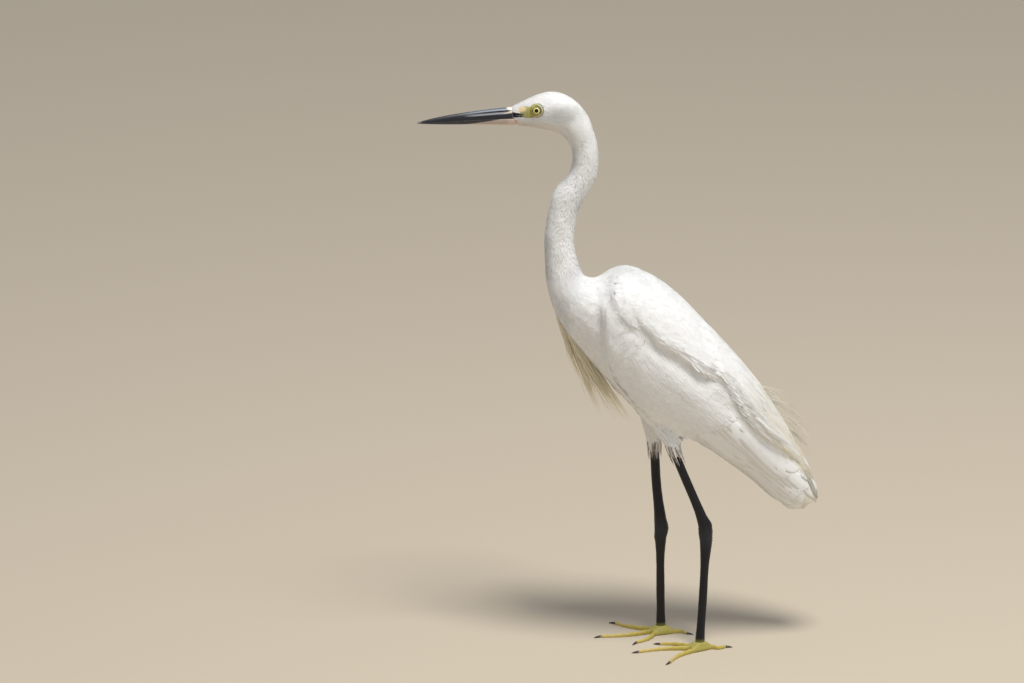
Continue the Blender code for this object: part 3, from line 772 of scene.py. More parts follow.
def lie_of(points, faces, region):
    """The way the coat lies at each point: down the body's line, or along the wing or tail."""
    _, run = along_line(points)
    low, _ = box_mm("wing_left")
    for i, name in enumerate(FLESH):
        here = region == i
        if name.startswith(("wing", "tail", "thigh")):
            run[here] = long_axis(name)
        if name == "cape":
            run[here] = unit(long_axis("wing_left") + (0.0, 0.0, 0.10))
        if name.startswith("wing"):
            spread = points[here] - low - (COVERT_FAN[0], 0.0, COVERT_FAN[1])
            far = np.hypot(spread[:, 0], spread[:, 2])
            ahead = np.clip(spread[:, 0] / far, -0.55, 1)
            spread = np.stack([ahead, 0 * far, np.minimum(spread[:, 2] / far, -0.35)], 1)
            above = points[here][:, 2] - low[2] - COVERT_FAN[1]
            share = fade(far, 36.0, 64.0) * fade(above, -4.0, 16.0)
            run[here] = unit(mix(run[here], unit(spread), share))
    edges = edges_of(faces)
    normals = vertex_normals(points, faces)
    return unit(relax(flattened(run, normals), edges, 20, 0.8))


def finer_near(points, faces, centre, reach):
    """Splits each triangle near a place into four, and its neighbours to match."""
    near = np.linalg.norm(points - centre, axis=1) < reach
    split = near[faces].any(axis=1)
    edges = {}
    points = list(points)

    def half(a, b):
        key = (a, b) if a < b else (b, a)
        if key not in edges:
            edges[key] = len(points)
            points.append((points[a] + points[b]) / 2)
        return edges[key]

    made = []
    for a, b, c in faces[split].tolist():
        d, e, f = half(a, b), half(b, c), half(c, a)
        made += [(a, d, f), (d, b, e), (f, e, c), (d, e, f)]
    kept = []
    for a, b, c in faces[~split].tolist():
        corners = [(a, b), (b, c), (c, a)]
        mids = [edges.get((min(p), max(p))) for p in corners]
        ring = []
        for (p, _), mid in zip(corners, mids):
            ring += [p] if mid is None else [p, mid]
        start = next((i for i, v in enumerate(ring) if v in mids), 0)
        ring = ring[start:] + ring[:start]
        kept += [(ring[0], ring[i], ring[i + 1]) for i in range(1, len(ring) - 1)]
    return np.array(points), np.array(made + kept)


def shape_lids(points, edges):
    """Draws the skin over each eyeball into a lid: a low ring with the ball showing inside it."""
    for side, aim in AIMS.items():
        off = points - EYES[side]
        height = off @ aim
        flat = off - height[:, None] * aim
        radius = np.linalg.norm(flat, axis=1)
        way = flat[:, 0] / np.maximum(radius, 1e-6)
        opening = LID["inner"] + np.where(way < 0, 0.45, 0.25) * np.abs(way) ** 6
        near = (height > 0) & (radius < LID["outer"])
        rim = near & (np.abs(radius - opening) < 0.24)
        flat[rim] *= (opening / np.maximum(radius, 1e-6))[rim, None]
        radius = np.where(rim, opening, radius)
        ball = np.sqrt(np.maximum(EYE_RADIUS**2 - radius**2, 0))
        lid = ball + LID["height"] + 0.14 * bell(radius - opening, 0.45)
        for fold in LID_FOLDS:
            lid -= 0.2 * smooth_step(way, -0.2, 0.5) * bell(radius - fold, 0.3)
        lid = mix_number(lid, height, smooth_step(radius, 4.9, LID["outer"]))
        lid = np.where(radius < 6.1, np.maximum(lid, ball + 0.15), lid)
        target = np.where(radius < opening - 0.02, ball - 1.3, lid)
        moved = EYES[side] + flat + target[:, None] * aim
        points = np.where(near[:, None], moved, points)
        band = (height > -1.0) & (radius > 5.0) & (radius < 8.0)
        points = relax(points, edges, 2, 0.5, ~band)
    return points


def unwrap(points, faces):
    """Each corner's place on an unwrap of the skin's own shape."""
    mesh = bpy.data.meshes.new("unwrap")
    mesh.from_pydata((points * MM).tolist(), [], faces.tolist())
    mesh.uv_layers.new(name="OFBake")
    obj = put("unwrap", mesh)
    bpy.context.view_layer.objects.active = obj
    obj.select_set(True)
    bpy.ops.object.mode_set(mode="EDIT")
    bpy.ops.mesh.select_all(action="SELECT")
    bpy.ops.uv.smart_project(angle_limit=math.radians(66), island_margin=0.004)
    bpy.ops.object.mode_set(mode="OBJECT")
    uv = np.empty(len(mesh.loops) * 2)
    mesh.uv_layers["OFBake"].data.foreach_get("uv", uv)
    bpy.data.objects.remove(obj)
    bpy.data.meshes.remove(mesh)
    return uv.reshape(-1, 3, 2)


def coat_depth(points, faces):
    depth = np.array([COAT_DEPTH[name] for name in FLESH])[region_of(points)]
    return relax(depth[:, None], edges_of(faces), 10) * (1 - 0.85 * bare_share(points)[:, None])


def make_outline():
    """The surface that the feathers lie on: the solids' outline with clumps and folds."""
    points, faces = even_surface(WHOLE, COAT_VOXEL, COAT_BRIDGE)
    points = eased(points, faces)
    points = points + vertex_normals(points, faces) * relief(points)[:, None]
    points = relax(points, edges_of(faces), 1)
    region = region_of(points)
    outline = Surface(points, faces, lie_of(points, faces, region))
    outline.region = region
    outline.depth = coat_depth(points, faces)
    outline.soften(5)
    return outline


def make_skin():
    """One skin under the whole coat, with lids round the eyes, that meets the horn of the bill."""
    points, faces = even_surface(WHOLE)
    points = eased(points, faces)
    depth = coat_depth(points, faces)[:, 0]
    base = box_mm("bill_upper")[1][0]
    depth += 0.3 * fade(points[:, 0], base - 1.5, base + 1.5)
    points = points + vertex_normals(points, faces) * (relief(points) - depth)[:, None]
    for side in SIDES:
        points, faces = finer_near(points, faces, EYES[side] + (-6.0, 0.0, 0.0), 17.0)
        points, faces = finer_near(points, faces, EYES[side] + AIMS[side] * EYE_RADIUS, 9.0)
    edges = edges_of(faces)
    points = shape_lids(relax(points, edges, 2), edges)
    skin = Surface(points, faces)
    skin.uv = unwrap(points, faces)
    mesh = add_mesh("skin", points, faces, skin_material(), markings(points), replaces=FLESH)
    layer = mesh.data.uv_layers.new(name="OFBake")
    layer.data.foreach_set("uv", skin.uv.astype(np.float32).ravel())
    return skin


# ---------------------------------------------------------------- locks and vanes
def trace(surface, roots, runs, lengths, steps, turn):
    """Paths that start at roots and lie on a surface: (n, steps + 1, 3), and the normals along them.

    A path bends by turn towards the lie of the coat at each step. Where the surface falls away
    from it, it goes nearly straight on.
    """
    base, normal, _ = surface.at(roots)
    run = unit(flattened(runs, normal))
    step = (lengths / steps)[:, None]
    paths, normals = [base], [normal]
    for _ in range(steps):
        guess = base + run * step
        found, there, lie = surface.at(guess)
        move = found - guess
        size = np.linalg.norm(move, axis=1, keepdims=True)
        free = (size > 0.4 * step) | ((there * normal).sum(1, keepdims=True) < 0.5)
        pull = np.minimum(0.12, 0.12 * step / np.maximum(size, 1e-9))
        base = guess + move * np.where(free, pull, 1.0)
        normal = unit(normal + there * np.where(free, 0.05, 1.0))
        run = unit(run + lie * np.where(free, 0.0, turn))
        run = unit(flattened(run, normal))
        paths.append(base)
        normals.append(normal)
    return np.stack(paths, axis=1), np.stack(normals, axis=1)


def rising(paths, normals, low, high, power=0.85, dip=0.0):
    """Lifts paths off the surface from low at the root to high at the tip, and dips their roots."""
    share = np.linspace(0, 1, paths.shape[1])[None] ** power
    root = dip * np.clip(1 - share / 0.25, 0, 1)
    return paths + normals * (low[:, None] * (1 - share) + high[:, None] * share - root)[..., None]


def lying(paths):
    """Which paths go on without a sharp or a long turn."""
    runs = unit(np.diff(paths, axis=1))
    sharp = (runs[:, 1:] * runs[:, :-1]).sum(2).min(axis=1)
    return (sharp > 0.8) & ((runs[:, 0] * runs[:, -1]).sum(axis=1) > 0.5)


def laid(surface, roots, runs, lengths, steps):
    """As trace, with shorter paths where the coat turns sharply or ends, and which of them lie well."""

    def good(some):
        off = surface.at(some[:, -1])[0] - some[:, -1]
        return lying(some) & (np.linalg.norm(off, axis=1) < 1.0)

    paths, normals = trace(surface, roots, runs, lengths, steps, TURN)
    bad = ~good(paths)
    if bad.any():
        again = (roots[bad], runs[bad], lengths[bad] * SHORTER)
        paths[bad], normals[bad] = trace(surface, *again, steps, TURN)
    return paths, normals, good(paths)


def lock_faces(rows):
    """Triangles of one closed lock: rows of left, right and ridge points, then its tip."""
    faces = [(0, 1, 2)]
    for k in range(rows - 1):
        a, b = 3 * k, 3 * (k + 1)
        for i, j in ((0, 2), (2, 1), (1, 0)):
            faces += [(a + i, a + j, b + j), (a + i, b + j, b + i)]
    tip, a = 3 * rows, 3 * (rows - 1)
    faces += [(a + i, a + j, tip) for i, j in ((0, 2), (2, 1), (1, 0))]
    return np.array(faces)


def copies(points, faces, uv, tint, even):
    """Closed bodies (n, points, 3) with the same triangles, as the arrays of one part."""
    n, size = points.shape[:2]
    faces = faces[None] + (np.arange(n) * size)[:, None, None]
    tint = np.repeat(tint[:, None], size, axis=1)
    arrays = (points.reshape(-1, 3), faces.reshape(-1, 3), uv.reshape(-1, 2), tint.reshape(-1, 3))
    return (*arrays, np.tile(even, n))


def locks(paths, normals, widths, thick, uv_roots, tint):
    """Closed tapering locks along paths (n, s, 3). widths (n, s) are half widths."""
    n, s = paths.shape[:2]
    runs = unit(np.gradient(paths, axis=1))
    side = unit(np.cross(normals, runs)) * widths[..., None]
    ridge = normals * (widths * thick)[..., None]
    rows = np.stack([paths - side, paths + side, paths + ridge], axis=2)[:, : s - 1]
    points = np.concatenate([rows.reshape(n, -1, 3), paths[:, -1:]], axis=1)
    faces = lock_faces(s - 1)
    share = np.repeat(np.linspace(0, 1, s), 3)[: 3 * (s - 1)]
    along = np.concatenate([share, [1.0]]) - 0.5
    across = np.concatenate([np.tile((-0.5, 0.5, 0.0), s - 1), [0.0]])
    uv = uv_roots[:, None] + np.stack([across, along], axis=1)[None] * UV_PATCH
    return copies(points, faces, uv, tint, np.zeros(len(faces), bool))


def root_uv(skin, roots):
    place, face = skin.nearest(roots)
    uv = np.einsum("nk,nkj->nj", skin.weights(place, face), skin.uv[face])
    return np.clip(uv, UV_PATCH, 1 - UV_PATCH)


def varied(colour, rng, spread):
    return np.clip(colour * (1 + spread * rng.standard_normal((len(colour), 1))), 0, 0.92)


def add_coat(coat, name, parts, replaces=()):
    """One coat piece from several sets of locks or vanes (points, faces, uv, tint, which are even)."""
    count = np.cumsum([0, *(len(part[0]) for part in parts)])
    faces = np.concatenate([part[1] + start for part, start in zip(parts, count)])
    points, uv, tint, even = (np.concatenate([part[i] for part in parts]) for i in (0, 2, 3, 4))
    add_mesh(name, points, faces, coat.material, tint, uv, even, replaces)


def tufts(coat, roots, lengths, half, low, high, rng, steps, curl, thick):
    """Single small locks, one at each root, lying along the coat."""
    _, _, lie = coat.outline.at(roots)
    n = len(roots)
    runs = unit(lie + rng.normal(0, curl, (n, 3)))
    paths, normals, good = laid(coat.outline, roots, runs, lengths, steps)
    rows = (paths, normals, roots, low, high, half)
    paths, normals, roots, low, high, half = (a[good] for a in rows)
    n = len(roots)
    paths = rising(paths, normals, low, high * rng.uniform(0.6, 1.0, n) + low * rng.uniform(0, 0.25, n))
    share = np.linspace(0, 1, steps + 1)
    shape = np.interp(share, (0, 0.3, 0.7, 1), (0.75, 1.0, 0.7, 0.0))
    widths = half[:, None] * shape[None] * rng.uniform(0.8, 1.2, (n, 1))
    tint = varied(markings(roots, 0.3), rng, 0.03)
    return locks(paths, normals, widths, thick, root_uv(coat.skin, roots), tint)


def laid_on(outline, places, ups):
    """Moves places along their ups onto the outline, as far as it is near and faces the same way."""
    found, there, _ = outline.at(places.reshape(-1, 3))
    found, there = found.reshape(places.shape), there.reshape(places.shape)
    off = np.clip(((found - places) * ups).sum(-1), -1.4, 1.4)
    off = off * smooth_step((there * ups).sum(-1), 0.3, 0.75)
    for _ in range(2):
        off[:, 1:-1] = 0.25 * off[:, :-2] + 0.5 * off[:, 1:-1] + 0.25 * off[:, 2:]
    return places + ups * off[..., None]


def feathers(coat, roots, lengths, half, low, high, rng, steps, curl, ragged):
    """Contour feathers: each a fan of locks that spreads to a rounded, slightly ragged edge."""
    _, _, lie = coat.outline.at(roots)
    runs = unit(lie + rng.normal(0, curl, (len(roots), 3)))
    spines, ups, good = laid(coat.outline, roots, runs, lengths, steps)
    rows = (spines, ups, roots, low, high, half)
    spines, ups, roots, low, high, half = (a[good] for a in rows)
    n = len(roots)
    sides = unit(np.cross(ups, unit(np.gradient(spines, axis=1))))
    share = 1 - (1 - np.linspace(0, 1, steps + 1)) ** 1.35
    spread = np.interp(share, (0, 0.35, 0.75, 1), (0.25, 0.85, 1.0, 0.86))
    places = np.linspace(-1, 1, LOCKS)
    rows = np.arange(n)[:, None]
    made_paths, made_ups = [], []
    for place in places:
        cut = np.sqrt(1 - 0.6 * place**2) * (1 + ragged * rng.uniform(-1.2, 0.6, n))
        at = np.clip(share[None] * cut[:, None], 0, 1) * steps
        lower = np.minimum(at.astype(int), steps - 1)
        part = (at - lower)[..., None]
        centre, side, up = (
            a[rows, lower] * (1 - part) + a[rows, lower + 1] * part for a in (spines, sides, ups)
        )
        offset = place * half[:, None] * np.interp(at / steps, share, spread)
        offset = offset + rng.normal(0, 0.07, (n, 1)) * half[:, None] * share[None]
        made_paths.append(centre + side * offset[..., None])
        made_ups.append(unit(up))
    paths = np.stack(made_paths, 1).reshape(-1, steps + 1, 3)
    ups = np.stack(made_ups, 1).reshape(-1, steps + 1, 3)
    paths = laid_on(coat.outline, paths, ups)
    low, high, half = (np.repeat(a, LOCKS) for a in (low, high, half))
    crown = np.tile(1 - places**2, n) * half * 0.05
    low, high = low + crown, high + crown
    paths = rising(paths, ups, low * 0.42, high, 0.85, 0.5)
    shape = np.interp(share, (0, 0.25, 0.75, 0.95, 1), (0.9, 1.05, 1.0, 0.75, 0.0))
    widths = half[:, None] * (1.75 / LOCKS) * shape[None]
    uv = np.repeat(root_uv(coat.skin, roots), LOCKS, axis=0)
    colour = np.repeat(varied(markings(roots), rng, 0.015), LOCKS, axis=0)
    return locks(paths, ups, widths, 0.1, uv, varied(colour, rng, 0.008))


def vane_faces(rows, columns):
    """Triangles of a closed thin sheet: a top grid and a bottom grid, joined at the rim."""
    grid = np.arange(rows * columns).reshape(rows, columns)
    a, b, c, d = grid[:-1, :-1], grid[:-1, 1:], grid[1:, 1:], grid[1:, :-1]
    top = np.concatenate([np.stack([a, b, c], -1), np.stack([a, c, d], -1)]).reshape(-1, 3)
    under = top[:, ::-1] + rows * columns
    rim = np.concatenate([grid[0, :-1], grid[:-1, -1], grid[-1, :0:-1], grid[:0:-1, 0]])
    after = np.roll(rim, -1)
    low, low_after = rim + rows * columns, after + rows * columns
    sides = np.concatenate([np.stack([rim, low, low_after], -1), np.stack([rim, low_after, after], -1)])
    return np.concatenate([top, under, sides])


def vanes(coat, roots, runs, lengths, half, low, high, rng, lean, tip):
    """Quills: long closed vanes with a shaft, stiff and flat, each over its neighbour."""
    steps, rows, columns, thick = 14, 17, 7, 0.18
    paths, ups = trace(coat.outline, roots, runs, lengths, steps, 0.0)
    good = lying(paths)
    paths, ups, roots, low, high, half = (a[good] for a in (paths, ups, roots, low, high, half))
    n = len(roots)
    share = 1 - (1 - np.linspace(0, 1, rows)) ** 1.6
    lower = np.minimum((share * steps).astype(int), steps - 1)
    part = (share * steps - lower)[None, :, None]
    paths, ups = (a[:, lower] * (1 - part) + a[:, lower + 1] * part for a in (paths, ups))
    run = unit(np.gradient(paths, axis=1))
    ups = unit(flattened(ups, run))
    side = unit(np.cross(ups, run))
    body = np.interp(share, (0, 0.12, 0.4, 1), (0.3, 0.75, 1.0, 1.0))
    end = np.sqrt(np.clip(1 - (np.clip(share - (1 - tip), 0, 1) / tip) ** 2.4, 0, 1))
    shape = np.maximum(body * end, 0.05)
    places = np.linspace(-1, 1, columns)
    offset = (half[:, None] * shape[None])[..., None] * places
    grid = paths[:, :, None] + side[:, :, None] * offset[..., None]
    up = np.broadcast_to(ups[:, :, None], grid.shape)
    grid = laid_on(coat.outline, grid, up)
    height = (low[:, None] * (1 - share) + high[:, None] * share)[..., None] + lean * offset
    height = height + half[:, None, None] * (0.03 * (1 - places**2) + 0.02 * (np.abs(places) < 0.1))
    grid = grid + up * height[..., None]
    points = np.concatenate([grid, grid - up * thick], axis=1).reshape(n, -1, 3)
    faces = vane_faces(rows, columns)
    even = np.arange(len(faces)) < 4 * (rows - 1) * (columns - 1)
    across, along = np.meshgrid(places / 2, share - 0.5)
    patch = np.tile(np.stack([across, along], -1).reshape(-1, 2), (2, 1)) * UV_PATCH
    uv = root_uv(coat.skin, roots)[:, None] + patch[None]
    return copies(points, faces, uv, varied(markings(roots), rng, 0.012), even)


def strands(coat, starts, bends, ends, half, rng, steps, wave, tint):
    """Loose plume strands, each bent once between its start and its end."""
    t = np.linspace(0, 1, steps + 1)[None, :, None]
    paths = (1 - t) ** 2 * starts[:, None] + 2 * t * (1 - t) * bends[:, None] + t**2 * ends[:, None]
    n = len(starts)
    swing = rng.normal(0, wave, (n, 1, 3)) * np.sin(np.pi * t * rng.uniform(1, 2.2, (n, 1, 1)))
    paths = paths + swing * t
    ups = unit(np.array((0.0, -1.0, 0.3)) + rng.normal(0, 0.8, (n, 1, 3))) + np.zeros_like(paths)
    share = np.linspace(0, 1, steps + 1)
    shape = np.interp(share, (0, 0.2, 0.6, 1), (0.8, 1.0, 0.75, 0.0))
    colour = varied(np.broadcast_to(tint, (n, 3)), rng, 0.04)
    return locks(paths, ups, half[:, None] * shape[None], 0.5, root_uv(coat.skin, starts), colour)


def spaced(roots, gap):
    """Leaves out roots that are nearer than gap to an earlier one."""
    taken, kept = {}, []
    gaps = np.broadcast_to(gap, len(roots))
    cell = float(gaps.max())
    around = [(i, j, k) for i in (-1, 0, 1) for j in (-1, 0, 1) for k in (-1, 0, 1)]
    for i, p in enumerate(roots.tolist()):
        key = tuple(int(v // cell) for v in p)
        near = [q for a, b, c in around for q in taken.get((key[0] + a, key[1] + b, key[2] + c), ())]
        if all(math.dist(p, q) >= gaps[i] for q in near):
            taken.setdefault(key, []).append(p)
            kept.append(i)
    return np.array(kept)


# ---------------------------------------------------------------- coats
def neck_end():
    """How far down the body's line the trunk begins."""
    return along_line(junction(("neck_lower",), "trunk", 0.9)[0][None])[0][0]


class Coat:
    """The outline, the skin under it and what is asked of them at the roots of feathers."""

    def __init__(self, outline, skin, material):
        self.outline, self.skin, self.material = outline, skin, material
        self.middles = outline.points[outline.faces].mean(axis=1)
        self.down = along_line(self.middles)[0]
        self.names = np.array(FLESH)[outline.region[outline.faces[:, 0]]]

    def on(self, *names):
        return np.isin(self.names, names)

    def roots(self, zone, rate, rng, edge=0.9):
        """Random places in a zone, so many per square millimetre, off sharp rims and out of slits."""
        clear, slit = 0.6, 14.0
        flat = self.outline.flat[self.outline.faces].min(axis=1)
        roots = self.outline.scatter(np.where((flat > edge) & zone, rate, 0), rng)
        place, normal, _ = self.outline.at(roots)
        rays = zip((place + normal * clear).tolist(), normal.tolist())
        return roots[np.array([self.outline.tree.ray_cast(p, n, slit)[0] is None for p, n in rays])]

    def sunk(self, roots):
        """How high the roots of feathers lie, below the outline and just above the skin."""
        return -ROOT_DEPTH * self.outline.read(self.outline.depth, *self.outline.nearest(roots))[:, 0]


def halves(roots):
    """The left and the right half of some roots, so that no piece grows too large."""
    return [(side, (roots[:, 1] - MID_Y) * sign >= 0) for side, sign in SIDES.items()]


def coat_head_and_neck(coat):
    rng = np.random.default_rng(11)
    bare = bare_share(coat.middles) > 0.45
    end = neck_end()
    for name, first, last, rate in (("coat_head", -5, 62, 2.5), ("coat_neck", 58, end + 16, 1.0)):
        zone = (coat.down >= first) & (coat.down < last) & ~bare & coat.on(*BODY_CHAIN)
        face = np.clip((coat.down - 8) / 50, 0, 1)
        roots = coat.roots(zone, rate * (1.5 - 0.7 * face), rng)
        at, _ = along_line(roots)
        lengths = np.interp(at, (0, 12, 30, 60, 120, 200, end), (2.0, 2.6, 3.6, 5.2, 7.0, 8.0, 10.0))
        lengths *= rng.uniform(0.8, 1.2, len(roots))
        half = np.interp(at, (0, 30, 60, 200), (0.32, 0.46, 0.62, 0.85))
        low = coat.sunk(roots)
        high = np.interp(at, (45, 90), (0.0, 0.08))
        for side, mine in halves(roots):
            rows = [a[mine] for a in (roots, lengths, half, low, high)]
            add_coat(coat, f"{name}_{side}", [tufts(coat, *rows, rng, steps=3, curl=0.07, thick=0.16)])


# Contour feathers: roots for each square millimetre, shares of the length that the gap between
# roots and the half width take, the spread of the lengths, then steps, curl and raggedness.
CONTOUR = {
    "coat_trunk": (0.6, 0.185, 0.22, (0.85, 1.15), (5, 0.06, 0.15)),
    "coverts": (0.5, 0.20, 0.21, (0.88, 1.12), (5, 0.05, 0.17)),
    "scapulars": (0.5, 0.165, 0.16, (0.88, 1.12), (6, 0.04, 0.15)),
}


def contour_coat(coat, group, roots, lengths, rng, only=None):
    """Contour feathers of one group, in a piece for each half of the bird or for one side only."""
    _, gap, width, vary, shape = CONTOUR[group]
    kept = spaced(roots, lengths * gap)
    roots, lengths = roots[kept], lengths[kept] * rng.uniform(*vary, len(kept))
    low = coat.sunk(roots)
    for side, mine in [(only, slice(None))] if only else halves(roots):
        rows = [a[mine] for a in (roots, lengths, lengths * width, low, low * 0)]
        add_coat(coat, f"{group}_{side}", [feathers(coat, *rows, rng, *shape)])


def coat_trunk(coat):
    rng = np.random.default_rng(12)
    start = neck_end()
    zone = coat.on("trunk", "neck_lower") & (coat.down > start - 14)
    roots = coat.roots(zone, CONTOUR["coat_trunk"][0], rng)
    at, _ = along_line(roots)
    lengths = np.interp(at, (start, start + 60, start + 160, start + 220), (13.0, 18.0, 16.0, 13.0))
    contour_coat(coat, "coat_trunk", roots, lengths, rng)


def thigh_fringe(coat, side, rng):
    """Ragged strands that hang from the end of a thigh over the top of its shank."""
    bone, bone_faces = node_arrays(f"shank_{side}")
    low_z = box_mm(f"thigh_{side}")[0][2]
    centres = [section(bone, bone_faces, 2, low_z - down) for down in (2.0, 14.0)]
    width = float(np.ptp(centres[0][:, 0]) / 2)
    top, bottom = (c.mean(axis=0) for c in centres)
    n = 150
    turn = rng.uniform(0, 2 * np.pi, n)
    out = np.stack([np.cos(turn), np.sin(turn), 0 * turn], axis=1)

    def around(z, off):
        share = ((top[2] - z) / (top[2] - bottom[2]))[:, None]
        middle = top * (1 - share) + bottom * share
        return middle * (1, 1, 0) + np.stack([0 * z, 0 * z, z], axis=1) + out * off[:, None]

    start_z = low_z + rng.uniform(0.5, 11.0, n)
    starts, _, _ = coat.outline.at(around(start_z, np.full(n, 6.0)))
    drop = rng.uniform(0.0, 1.0, n) ** 1.5 * 11.0
    ends = around(low_z + 2.0 - drop, width + rng.uniform(0.2, 1.3, n))
    bends = around(low_z + rng.uniform(1.0, 4.0, n), width + rng.uniform(0.8, 2.2, n))
    down, on = unit(bends - starts), unit(ends - bends)
    good = ((down * on).sum(axis=1) > 0.7) & (down[:, 2] < -0.3)
    starts, bends, ends, drop = (a[good] for a in (starts, bends, ends, drop))
    n = len(starts)
    brown = np.where(rng.random(n) < 0.34, 0.9, 0.15) * smooth_step(drop, -1.0, 4.0)
    tint = mix(plain(WHITE, n), BROWN, brown)
    return strands(coat, starts, bends, ends, rng.uniform(0.3, 0.6, n), rng, 5, 0.3, tint)


def coat_thighs(coat):
    rng = np.random.default_rng(13)
    roots = coat.roots(coat.on("thigh_left", "thigh_right"), 0.9, rng, 0.86)
    low_z = box_mm("thigh_left")[0][2]
    lengths = np.interp(roots[:, 2] - low_z, (0, 12, 40), (8.0, 11.0, 15.0))
    lengths *= rng.uniform(0.6, 1.25, len(roots))
    low = coat.sunk(roots)
    rows = (roots, lengths, np.full(len(roots), 0.75), low, low * 0)
    parts = [tufts(coat, *rows, rng, steps=4, curl=0.18, thick=0.35)]
    parts += [thigh_fringe(coat, side, rng) for side in SIDES]
    add_coat(coat, "coat_thighs", parts)


def wing_frame(name):
    """A folded wing's own measure: its long axis, the axis towards the back, and its edges."""
    points, faces = node_arrays(name)
    along = long_axis(name)
    across = np.array((-along[2], 0.0, along[0]))
    across *= np.sign(across[2])
    local = np.stack([points @ along, points @ across, points[:, 1]], axis=1)
    stations = np.linspace(local[:, 0].min() + 0.5, local[:, 0].max() - 0.5, 40)
    cuts = [section(local, faces, 0, s)[:, 1] for s in stations]
    return along, across, stations, np.array([c.min() for c in cuts]), np.array([c.max() for c in cuts])


def on_wing(coat, name, shape, u, v):
    """Places on the outside of a wing: u from wrist to tip, v from the lower to the upper edge."""
    along, across, stations, low, high = shape
    sign = SIDES[name.split("_")[1]]
    at = stations[0] + (stations[-1] - stations[0]) * u
    over = np.interp(at, stations, low) * (1 - v) + np.interp(at, stations, high) * v
    flat = along * at[:, None] + across * over[:, None]
    flat[:, 1] = MID_Y + sign * 70.0
    places, face, met = coat.outline.hit(flat, (0.0, -sign, 0.0))
    return places, met & (coat.names[face] == name)


# Rows of quills on a wing: how many, roots u and v (first, last), tips u, half width, how deep
# root and tip lie, the spread of their aims, and the share of the length that the tip takes.
QUILLS = (
    (13, (0.46, 0.60), (0.27, 0.82), (1.0, 1.0), 7.0, -0.9, (-0.75, -0.60), 0.05, 0.10),
    (13, (0.34, 0.52), (0.24, 0.90), (0.94, 0.96), 7.5, -0.9, (-0.55, -0.45), 0.06, 0.12),
    (11, (0.30, 0.44), (0.26, 0.82), (0.78, 0.84), 7.5, -0.9, (-0.45, -0.35), 0.06, 0.14),
    (7, (0.40, 0.52), (0.60, 0.98), (0.86, 0.90), 9.0, -0.9, (-0.35, -0.25), 0.04, 0.14),
    (15, (0.22, 0.40), (0.13, 0.96), (0.52, 0.62), 6.5, -0.9, (-0.25, -0.15), 0.10, 0.24),
    (16, (0.12, 0.30), (0.08, 0.98), (0.34, 0.46), 5.8, -0.9, (-0.15, -0.05), 0.16, 0.30),
)


def coat_wing(coat, side):
    name, sign = f"wing_{side}", SIDES[side]
    rng = np.random.default_rng(20 + sign)
    shape = wing_frame(name)
    along, across = shape[:2]
    parts = []
    reach = shape[2][-1] - shape[2][0]
    for count, u, v, tips, half, low, high, spread, tip in QUILLS:
        t = np.linspace(0, 1, count)
        at_u = u[0] + (u[1] - u[0]) * t + rng.normal(0, 0.004, count)
        roots, found = on_wing(coat, name, shape, at_u, v[0] + (v[1] - v[0]) * t)
        aims = unit(along + across * spread * (t[:, None] - 0.5) + rng.normal(0, 0.012, (count, 3)))
        sizes = (tips[0] + (tips[1] - tips[0]) * t - at_u) * reach * rng.uniform(0.98, 1.01, count)
        rows = (roots, aims, sizes, np.full(count, half), np.full(count, low), np.linspace(*high, count))
        rows = [a[found] for a in rows]
        parts.append(vanes(coat, *rows, rng, 0.035 * sign, tip))
    add_coat(coat, f"quills_{side}", parts)

    roots = coat.roots(coat.on(name), CONTOUR["coverts"][0], rng)
    u = (roots @ along - shape[2][0]) / reach
    front = u < 0.38 + 0.10 * rng.random(len(u))
    roots, u = roots[front], u[front]
    lengths = np.interp(u, (0.0, 0.12, 0.46), (10.0, 16.0, 26.0))
    contour_coat(coat, "coverts", roots, lengths, rng, side)


def coat_cape(coat):
    rng = np.random.default_rng(31)
    roots = coat.roots(coat.on("cape"), CONTOUR["scapulars"][0], rng)
    start, end = box_mm("cape")
    back = (roots[:, 0] - start[0]) / (end[0] - start[0])
    front = back < 0.66 + 0.08 * rng.random(len(back))
    roots, back = roots[front], back[front]
    lengths = np.interp(back, (0, 0.15, 0.4, 1), (13.0, 20.0, 30.0, 36.0))
    contour_coat(coat, "scapulars", roots, lengths, rng)


TAIL_QUILLS = 12


def coat_tail(coat):
    """The quills of the tail, on its upper and on its lower face."""
    rng = np.random.default_rng(41)
    count, sideways = TAIL_QUILLS, np.array((0.0, 1.0, 0.0))
    points, _ = node_arrays("tail")
    along = long_axis("tail")
    up = np.array((-along[2], 0.0, along[0]))
    up *= np.sign(up[2])
    middle = points.mean(axis=0)
    start = (points @ along).min() - middle @ along
    reach = float(np.ptp(points @ along))
    parts = []
    for face in (1, -1):
        t = np.linspace(-1, 1, count)
        y = MID_Y + t * 8.5 - middle[1]
        base = middle + along * (start + 8.0) + up * 30.0 * face + sideways * y[:, None]
        roots, _, found = coat.outline.hit(base, (-up * face).tolist())
        aims = unit(along + sideways * (t * 0.045)[:, None])
        sizes = (reach - 10.0) * (1 - 0.06 * np.abs(t))
        high = -0.25 + 0.1 * (1 - np.abs(t))
        rows = (roots, aims, sizes, np.full(count, 4.6), np.full(count, -0.4), high)
        rows = [a[found] for a in rows]
        if found.any():
            parts.append(vanes(coat, *rows, rng, 0.0, 0.25))
    add_coat(coat, "tail_quills", parts)


